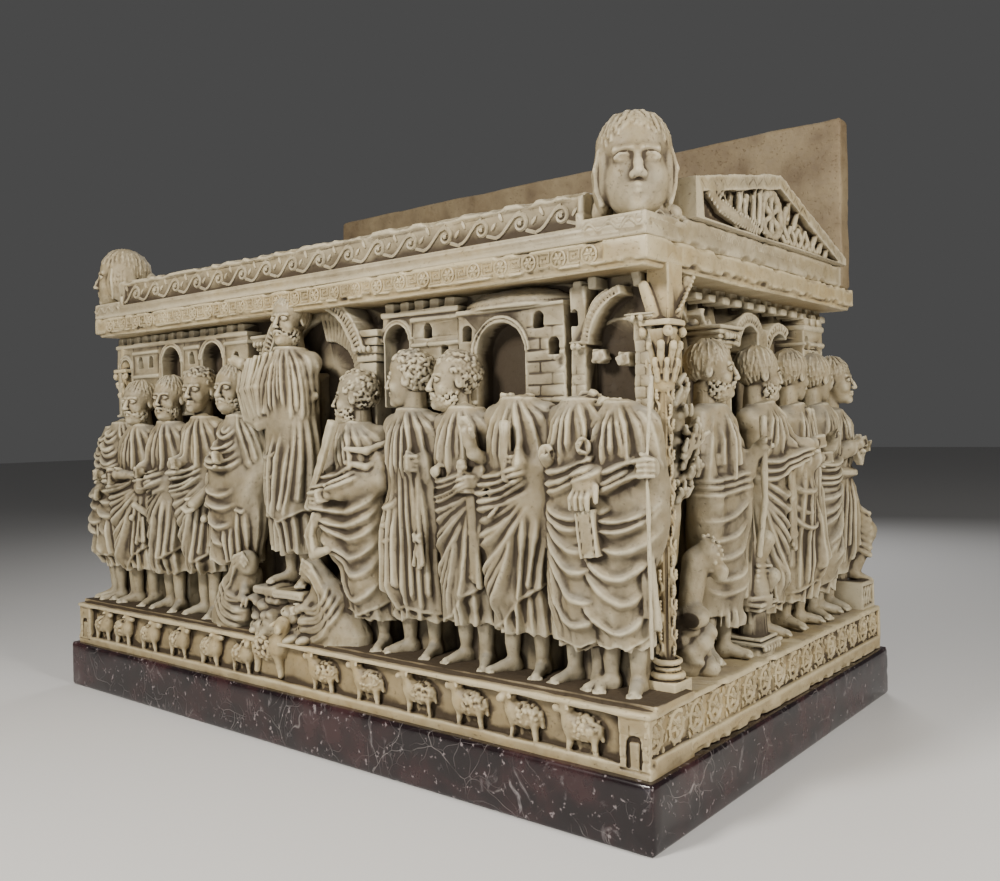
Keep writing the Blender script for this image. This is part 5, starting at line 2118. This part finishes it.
def corner_blocks():
    """The blocks under the corner heads, with rough stone behind them."""
    stone = Stone((0.98, -0.716, 1.386), (1.256, -0.42, 1.665), STEP)
    stone.add(block((1.035, -0.7095, LID_FOOT), (1.214, -0.545, 1.446), 0.006))
    stone.add(upright((1.4, 1.44, 1.475, 1.52), (1.14,) * 4, -0.595, (0.06, 0.064, 0.062, 0.052),
                      (0.07, 0.066, 0.06, 0.05)), 0.02)
    rng = np.random.default_rng(150)
    for _ in range(26):
        stone.add(lump((rng.uniform(1.02, 1.062), rng.uniform(-0.65, -0.55), rng.uniform(1.45, 1.52)),
                       (rng.uniform(0.014, 0.026),) * 3), 0.01)
    for _ in range(12):
        stone.add(lump((rng.uniform(1.1, 1.19), rng.uniform(-0.56, -0.5), rng.uniform(1.46, 1.56)),
                       (rng.uniform(0.018, 0.03),) * 3), 0.014)
    for k in range(20):
        a, b = k / 20, (k + 1) / 20
        wave = lambda t: 0.01 * math.sin(t * 3.0 * 2 * math.pi)
        stone.add(bone((1.045 + 0.165 * a, -0.709, 1.421 + wave(a)),
                       (1.045 + 0.165 * b, -0.709, 1.421 + wave(b)), 0.004), 0.001)
    return stone


# %% [markdown]
# ## Stone finishes
# Two groups are shared by the pale marbles. `Dirt` turns the carved hollowness into a mask for
# dirt and one for pale, rubbed edges. `Mottle` lays broad and fine changes of tone over
# the stone. The marbles differ in their colours and in how strongly they use the two.

# %% Shader groups
def group(name, inputs, outputs):
    tree = bpy.data.node_groups.new(name, "ShaderNodeTree")
    for title, default in inputs:
        socket = tree.interface.new_socket(title, in_out="INPUT", socket_type="NodeSocketFloat")
        socket.default_value = default
    for title in outputs:
        tree.interface.new_socket(title, in_out="OUTPUT", socket_type="NodeSocketFloat")
    return tree, tree.nodes.new("NodeGroupInput").outputs, tree.nodes.new("NodeGroupOutput").inputs


class Web:
    """A node tree, with its maths, noise, span and colour mix nodes made in one call each."""
    def __init__(self, tree):
        self.nodes, self.links = tree.nodes, tree.links

    def put(self, value, socket):
        """Sets a socket to a number or a colour, or links it to another node's output."""
        if isinstance(value, (int, float)):
            socket.default_value = value
        elif isinstance(value, tuple):
            socket.default_value = (*value, 1)
        else:
            self.links.new(value, socket)

    def noise(self, where, scale, detail=4.0, rough=0.55):
        node = self.nodes.new("ShaderNodeTexNoise")
        node.inputs["Detail"].default_value = detail
        node.inputs["Roughness"].default_value = rough
        self.put(scale, node.inputs["Scale"])
        self.put(where, node.inputs["Vector"])
        return node.outputs["Fac"]

    def math(self, kind, a, b, clamp=False):
        node = self.nodes.new("ShaderNodeMath")
        node.operation = kind
        node.use_clamp = clamp
        self.put(a, node.inputs[0])
        self.put(b, node.inputs[1])
        return node.outputs[0]

    def times(self, a, b, clamp=False):
        return self.math("MULTIPLY", a, b, clamp)

    def span(self, value, low, high):
        node = self.nodes.new("ShaderNodeMapRange")
        node.interpolation_type = "SMOOTHSTEP"
        self.put(value, node.inputs["Value"])
        node.inputs["From Min"].default_value = low
        node.inputs["From Max"].default_value = high
        return node.outputs["Result"]

    def mixed(self, amount, a, b):
        node = self.nodes.new("ShaderNodeMix")
        node.data_type = "RGBA"
        node.blend_type = "MIX"
        self.put(amount, node.inputs["Factor"])
        self.put(a, node.inputs[6])
        self.put(b, node.inputs[7])
        return node.outputs[2]


def dirt_group():
    tree, given, out = group("Dirt", (("Crease", 0.5), ("Hollow", 0.5), ("Amount", 1.0)),
                             ("Dirt", "Shade", "Rubbed"))
    web, nodes, links = Web(tree), tree.nodes, tree.links
    where = nodes.new("ShaderNodeTexCoord").outputs["Object"]
    patchy = web.noise(where, 9.0)
    uneven = web.times(web.math("SUBTRACT", patchy, 0.5), 0.2)
    crease = web.math("ADD", given["Crease"], uneven)
    deep = web.math("ADD", given["Hollow"], uneven)
    in_crease = web.times(web.span(crease, 0.5, 0.6), 0.94)
    in_depth = web.times(web.span(deep, 0.61, 0.87), 0.8)
    dirt = web.math("MAXIMUM", in_crease, in_depth)
    links.new(web.times(dirt, given["Amount"], True), out["Dirt"])
    links.new(web.span(deep, 0.36, 0.62), out["Shade"])
    links.new(web.math("SUBTRACT", 1.0, web.span(crease, 0.33, 0.48)), out["Rubbed"])
    return tree


def mottle_group():
    tree, given, out = group("Mottle", (("Scale", 1.0),), ("Broad", "Stain", "Fine", "Pits"))
    web, nodes = Web(tree), tree.nodes
    where = nodes.new("ShaderNodeTexCoord").outputs["Object"]
    for title, size, detail, low, high in (("Broad", 3.2, 5.0, 0.35, 0.68),
                                           ("Stain", 8.5, 7.0, 0.47, 0.68),
                                           ("Fine", 34.0, 6.0, 0.3, 0.72), ("Pits", 120.0, 3.0, 0.6, 0.74)):
        scale = web.times(given["Scale"], size)
        web.put(web.span(web.noise(where, scale, detail), low, high), out[title])
    return tree


dirt_nodes, mottle_nodes = dirt_group(), mottle_group()


# %% Old marble
def old_marble(name, stone, warm, pale, dirt, grey, rough=0.52, dirtiness=1.0, pit=0.15, stained=0.6,
               has_hollow=True):
    material = bpy.data.materials.new(name)
    material.use_nodes = True
    web = Web(material.node_tree)
    nodes, links = web.nodes, web.links
    skin = nodes["Principled BSDF"]
    mottle = nodes.new("ShaderNodeGroup")
    mottle.node_tree = mottle_nodes
    soil = nodes.new("ShaderNodeGroup")
    soil.node_tree = dirt_nodes
    soil.inputs["Amount"].default_value = dirtiness
    if has_hollow:
        for title, socket in (("crease", "Crease"), ("hollow", "Hollow")):
            measure = nodes.new("ShaderNodeAttribute")
            measure.attribute_name = title
            links.new(measure.outputs["Fac"], soil.inputs[socket])
    where = nodes.new("ShaderNodeTexCoord").outputs["Object"]
    facing = nodes.new("ShaderNodeNewGeometry")
    axes = nodes.new("ShaderNodeSeparateXYZ")
    links.new(facing.outputs["Normal"], axes.inputs[0])
    # Grey dust settles on what faces up, in patches.
    dust = web.times(web.span(axes.outputs["Z"], 0.15, 0.85),
                     web.span(web.noise(where, 6.5), 0.38, 0.6), True)
    colour = web.mixed(mottle.outputs["Broad"], stone, warm)
    stain = tuple(0.62 * w + 0.38 * d for w, d in zip(warm, dirt))
    colour = web.mixed(web.times(mottle.outputs["Stain"], stained), colour, stain)
    colour = web.mixed(web.times(mottle.outputs["Fine"], 0.3), colour, pale)
    colour = web.mixed(web.times(dust, 0.55), colour, grey)
    colour = web.mixed(web.times(soil.outputs["Rubbed"], 0.74), colour, pale)
    tan = tuple((s + 2 * d) / 3 for s, d in zip(warm, dirt))
    colour = web.mixed(web.times(soil.outputs["Shade"], 0.52), colour, tan)
    colour = web.mixed(soil.outputs["Dirt"], colour, dirt)
    colour = web.mixed(web.times(mottle.outputs["Pits"], pit), colour, dirt)
    links.new(colour, skin.inputs["Base Color"])
    gloss = web.math("ADD", web.times(mottle.outputs["Fine"], 0.14), rough)
    gloss = web.math("SUBTRACT", gloss, web.times(soil.outputs["Rubbed"], 0.12))
    links.new(web.math("ADD", gloss, web.times(soil.outputs["Dirt"], 0.25), True), skin.inputs["Roughness"])
    bump = nodes.new("ShaderNodeBump")
    bump.inputs["Strength"].default_value = 0.55
    bump.inputs["Distance"].default_value = 0.0035
    height = web.math("SUBTRACT", web.times(mottle.outputs["Fine"], 0.5),
                       web.times(mottle.outputs["Pits"], pit * 3))
    links.new(height, bump.inputs["Height"])
    links.new(bump.outputs["Normal"], skin.inputs["Normal"])
    skin.inputs["Specular IOR Level"].default_value = 0.42
    return material


carved_marble = old_marble("carved_marble", (0.235, 0.195, 0.122), (0.27, 0.212, 0.115), (0.52, 0.46, 0.32),
                           (0.03, 0.019, 0.009), (0.195, 0.192, 0.18), pit=0.3)
band_marble = old_marble("band_marble", (0.3, 0.235, 0.128), (0.345, 0.255, 0.122), (0.54, 0.46, 0.29),
                         (0.032, 0.019, 0.008), (0.23, 0.208, 0.175), pit=0.35)
lid_marble = old_marble("lid_marble", (0.25, 0.207, 0.128), (0.285, 0.222, 0.116), (0.5, 0.435, 0.3),
                        (0.04, 0.025, 0.012), (0.215, 0.205, 0.185), pit=0.35, stained=0.8)
slab_marble = old_marble("slab_marble", (0.225, 0.172, 0.095), (0.145, 0.1, 0.05), (0.34, 0.275, 0.165),
                         (0.06, 0.036, 0.018), (0.2, 0.182, 0.15), rough=0.6, pit=0.35, stained=0.95,
                         has_hollow=False)


# %% Polished dark marble
def polished_marble():
    """Near-black stone with red clouds, thin white veins, specks and a few white patches."""
    material = bpy.data.materials.new("dark_marble")
    material.use_nodes = True
    web = Web(material.node_tree)
    nodes, links = web.nodes, web.links
    skin = nodes["Principled BSDF"]
    where = nodes.new("ShaderNodeTexCoord").outputs["Object"]
    clouds = web.span(web.noise(where, 7.0, 6.0, 0.6), 0.4, 0.7)
    colour = web.mixed(clouds, (0.01, 0.006, 0.007), (0.036, 0.014, 0.015))
    bent = nodes.new("ShaderNodeVectorMath")
    bent.operation = "ADD"
    links.new(where, bent.inputs[0])
    shift = nodes.new("ShaderNodeTexNoise")
    shift.inputs["Scale"].default_value = 5.0
    links.new(where, shift.inputs["Vector"])
    half = nodes.new("ShaderNodeVectorMath")
    half.operation = "SCALE"
    half.inputs["Scale"].default_value = 0.22
    links.new(shift.outputs["Color"], half.inputs[0])
    links.new(half.outputs[0], bent.inputs[1])
    for scale, thin, strength in ((5.5, 0.005, 0.26), (13.0, 0.006, 0.2)):
        cells = nodes.new("ShaderNodeTexVoronoi")
        cells.feature = "DISTANCE_TO_EDGE"
        cells.inputs["Scale"].default_value = scale
        links.new(bent.outputs[0], cells.inputs["Vector"])
        vein = web.math("SUBTRACT", 1.0, web.span(cells.outputs["Distance"], 0.0, thin * 2))
        broken = web.times(vein, web.span(web.noise(where, 8.0), 0.45, 0.62))
        colour = web.mixed(web.times(broken, strength), colour, (0.5, 0.46, 0.44))
    patches = web.span(web.noise(bent.outputs[0], 5.2, 8.0, 0.74), 0.645, 0.7)
    colour = web.mixed(web.times(patches, 0.8), colour, (0.42, 0.39, 0.38))
    specks = web.span(web.noise(where, 60.0, 2.0), 0.64, 0.74)
    colour = web.mixed(web.times(specks, 0.45), colour, (0.42, 0.36, 0.36))
    # Fine pale streaks that stand upright in the block.
    upright_grain = nodes.new("ShaderNodeVectorMath")
    upright_grain.operation = "MULTIPLY"
    upright_grain.inputs[1].default_value = (1.0, 1.0, 0.3)
    links.new(bent.outputs[0], upright_grain.inputs[0])
    streaks = web.span(web.noise(upright_grain.outputs[0], 34.0, 6.0, 0.62), 0.58, 0.72)
    gathered = web.span(web.noise(where, 4.5, 3.0), 0.42, 0.62)
    streaks = web.times(streaks, web.times(gathered, 0.42))
    colour = web.mixed(streaks, colour, (0.4, 0.36, 0.36))
    links.new(colour, skin.inputs["Base Color"])
    links.new(web.math("ADD", web.times(clouds, 0.1), 0.2), skin.inputs["Roughness"])
    return material


dark_marble = polished_marble()


# %% [markdown]
# ## Making the pieces
# Each side is carved, meshed and finished in turn. A side keeps under 200,000 triangles,
# so the long front is parted in two meshes that meet vertex to vertex.

# %% Heads of a row
def head_skins(rows, place, out, goal=9000, seed=60):
    def one(job):
        i, (*_, hair, bearded) = job
        return head(seed + i, hair, bearded)

    with ThreadPoolExecutor(4) as pool:
        stones = list(pool.map(one, enumerate(rows)))
    skins = []
    for stone, (x, z, turn, *_) in zip(stones, rows):
        spot = place @ Matrix.Translation((x, -out, z)) @ Matrix.Rotation(turn, 4, "Z")
        skins.append(carved(stone, goal, spot @ Matrix.Translation((0, 0, -0.5 * HEAD)), HEAD))
    return skins


def split_by_x(skin, x):
    """Two skins, left and right of x, each closed by a flat face in the cut."""
    halves = []
    for sign in (-1, 1):
        mesh = mesh_from("half", skin.spots, [skin.triangles])
        mark_hollows(mesh, skin.hollow)
        form = bmesh.new()
        form.from_mesh(mesh)
        everything = form.verts[:] + form.edges[:] + form.faces[:]
        cut = bmesh.ops.bisect_plane(form, geom=everything, dist=1e-6, plane_co=(x, 0, 0),
                                     plane_no=(-sign, 0, 0), clear_outer=True)
        edges = [e for e in cut["geom_cut"] if isinstance(e, bmesh.types.BMEdge)]
        bmesh.ops.triangle_fill(form, use_beauty=False, use_dissolve=False, edges=edges)
        bmesh.ops.recalc_face_normals(form, faces=form.faces)
        form.to_mesh(mesh)
        form.free()
        hollow = np.empty((2, len(mesh.vertices)), np.float32)
        for values, title in zip(hollow, ("crease", "hollow")):
            mesh.attributes[title].data.foreach_get("value", values)
        halves.append(Skin(spots_of(mesh), triangles_of(mesh), hollow.T.copy()))
        bpy.data.meshes.remove(mesh)
    return halves


# %% Front
# The carved grounds lie a little behind the solid model's walls, so that the foremost
# hands stay inside the whole size.
front_place = side_place(0.0, WALL_FRONT - 0.008)
right_place = side_place(math.pi / 2, WALL_END - 0.024)
left_place = side_place(-math.pi / 2, WALL_END - 0.024)
back_place = side_place(math.pi, WALL_BACK)
band_place = side_place(0.0, WALL_FRONT)

GOAL = 1.0          # share of the triangles
SPLIT_X = 0.03                             # where the front's mesh is parted
front = carved(carve_front(), int(285000 * GOAL), front_place)
front_left, front_right = split_by_x(front, SPLIT_X)
heads = head_skins(FRONT_HEADS, front_place, 0.1)
finish_piece("chest_front_left", together([front_left, *heads[3:]]), carved_marble, "chest")
finish_piece("chest_front_right", together([front_right, *heads[:3]]), carved_marble,
             "chest")

# %% Ends and back
right = carved(carve_right(), int(130000 * GOAL), right_place)
finish_piece("chest_right_end", together([right, *head_skins(RIGHT_HEADS, right_place, END_OUT, 8500, 160)]),
             carved_marble, "chest")
left = carved(carve_left(), int(42000 * GOAL), left_place)
finish_piece("chest_left_end", together([left, *head_skins(LEFT_HEADS, left_place, 0.105, 5000, 180)]),
             carved_marble, "chest")
back = carved(carve_back(), 9000, back_place)
finish_piece("chest_back", back, carved_marble, "chest")

# %% Columns, lambs, core and its ornament
column = carved(carve_column(), int(30000 * GOAL))
lambs = carved(carve_lambs(), int(84000 * GOAL), band_place)
big_lamb = carved(carve_big_lamb(), int(12000 * GOAL), band_place)
finish_piece("chest_columns", together([column, mirrored(column)]), band_marble, "chest")
finish_piece("chest_lamb_band", together([lambs, big_lamb]), band_marble, "chest")
core = carved(carve_core(), int(42000 * GOAL), radii=(0.012, 0.04))
pitch = 0.0905
fret_y, fret_z = -CORNICE_FRONT + 0.003, 1.361
ornament = [row(rosette_stamp(0.0195), (-1.115, fret_y, fret_z), (pitch, 0, 0), 25, seed=3),
            row(fret_stamp(0.0165), (-1.115 + pitch / 2, fret_y, fret_z), (pitch, 0, 0), 24, seed=4),
            row(vine_stamp(), (BASE_END - BAND_SINK + 0.002, -0.7493, 0.2495), (0, 0.0993, 0), 16,
                math.pi / 2, 0.6, 0.03, 5), ]
finish_piece("chest_core", together([core, *ornament]), band_marble, "chest")

# %% Lid
corner = carved(corner_blocks(), int(12000 * GOAL))
lid_parts = [carved(carve_lid(), int(36000 * GOAL), radii=(0.012, 0.04)),
             carved(carve_gable(), int(40000 * GOAL)), corner, mirrored(corner)]
for sign, turn, size in ((1, 0.62, 0.25), (-1, -0.62, 0.215)):
    stone = carve_corner_head(sign, size)
    middle = (1.134, -0.622, 1.57) if sign > 0 else (-1.165, -0.62, 1.55)
    spot = Matrix.Translation(middle) @ Matrix.Rotation(turn, 4, "Z")
    lid_parts.append(carved(stone, 15000, spot @ Matrix.Translation((0, 0, -0.5 * size)), size))
lid_parts.append(row(scroll_stamp(), (-0.955, -0.6955, 1.467), (0.1275, 0, 0), 16, seed=6))
lid_parts.append(row(scallop_stamp(), (1.2125, -0.64, 1.432), (0, 0.066, 0), 16, math.pi / 2, seed=7))
finish_piece("lid_stone", together(lid_parts), lid_marble, "lid")


# %% [markdown]
# ## Slab and plinth
# Both are plain blocks, so they start from the solid model's boxes. Both get soft edges
# with small chips; the slab is weathered as well, and the plinth stays flat and polished.

# %% Slab and plinth
def plain_block(name, low, high, step, chips, seed, material, wear, soft):
    low, high = Vector(low), Vector(high)
    if wear:
        low, high = low + Vector((0.004, 0.004, 0)), high - Vector((0.004, 0.004, 0.005))
    stone = Stone([c - 2 * step for c in low], [c + 2 * step for c in high], step)
    stone.add(block(tuple(low), tuple(high), soft))
    rng = np.random.default_rng(seed)
    for _ in range(chips):
        spot = [rng.uniform(a, b) for a, b in zip(low, high)]
        for axis in rng.choice(3, 2, replace=False):
            spot[axis] = (low, high)[rng.integers(2)][axis]
        size = rng.uniform(0.3, 1.0, 3) * 0.01
        stone.cut(lump(spot, tuple(size)), 0.003)
    skin = carved(stone, 9000, radii=(0.012, 0.03), wear=wear)
    return finish_piece(name, skin, material, name.replace("_stone", ""))


plain_block("plinth_stone", plinth_low, plinth_high, 0.007, 40, 200, dark_marble, 0.0, 0.003)
plain_block("rear_slab_stone", slab_low, slab_high, 0.007, 70, 201, slab_marble, 0.8, 0.004)

# %% [markdown]
# ## Camera, floor and light
# The camera stands low at the right front corner with a short lens, so the front runs
# away to the left. One light stands high before the front and one off the right end, a
# weak one fills low from the front and one lights the back. The floor is plain and pale.

# %% Camera, floor and light
camera = bpy.data.objects.new("camera", bpy.data.cameras.new("camera"))
camera.data.lens, camera.data.sensor_width = 35.0, 36.0
right_way, up_way = Vector((0.77832, 0.6276, -0.0184)), Vector((0.00415, 0.02416, 0.9997))
back_way = right_way.cross(up_way)
spot = Vector((2.34379, -2.65348, 0.95901))
rows = [(*axis, place) for axis, place in zip(zip(right_way, up_way, back_way), spot)]
camera.matrix_world = Matrix(rows + [(0, 0, 0, 1)])
bpy.context.scene.collection.objects.link(camera)
bpy.context.scene.camera = camera

floor_mesh = bpy.data.meshes.new("floor")
FAR_OFF = 30
floor_mesh.from_pydata([(-FAR_OFF, -FAR_OFF, 0), (FAR_OFF, -FAR_OFF, 0), (FAR_OFF, FAR_OFF, 0),
                        (-FAR_OFF, FAR_OFF, 0)], [], [(0, 1, 2, 3)])
floor = bpy.data.objects.new("floor", floor_mesh)
floor_finish = bpy.data.materials.new("floor")
floor_finish.use_nodes = True
floor_skin = floor_finish.node_tree.nodes["Principled BSDF"].inputs
floor_skin["Base Color"].default_value = (0.62, 0.61, 0.6, 1)
floor_skin["Roughness"].default_value = 0.8
floor_mesh.materials.append(floor_finish)
bpy.context.scene.collection.objects.link(floor)


def soft_light(name, spot, target, power, size, colour=(1, 1, 1)):
    lamp = bpy.data.lights.new(name, "AREA")
    lamp.energy, lamp.size, lamp.color = power, size, colour
    thing = bpy.data.objects.new(name, lamp)
    thing.location = spot
    thing.rotation_euler = (Vector(target) - Vector(spot)).to_track_quat("-Z", "Y").to_euler()
    bpy.context.scene.collection.objects.link(thing)


soft_light("key", (0.1, -3.9, 3.1), (0.3, -0.5, 0.7), 222, 0.8, (1.0, 0.96, 0.89))
soft_light("side", (4.3, -0.9, 2.4), (1.1, 0.0, 0.8), 172, 0.8, (1.0, 0.96, 0.89))
soft_light("fill", (1.8, -4.2, 0.9), (0.3, -0.6, 1.0), 46, 2.0, (0.95, 0.97, 1.0))
soft_light("rear", (-1.5, 4.5, 3.5), (0.0, 0.5, 0.9), 120, 2.5)
world = bpy.data.worlds.new("studio")
bpy.context.scene.world = world
world.use_nodes = True
world.node_tree.nodes["Background"].inputs["Color"].default_value = (0.82, 0.82, 0.82, 1)
world.node_tree.nodes["Background"].inputs["Strength"].default_value = 0.09
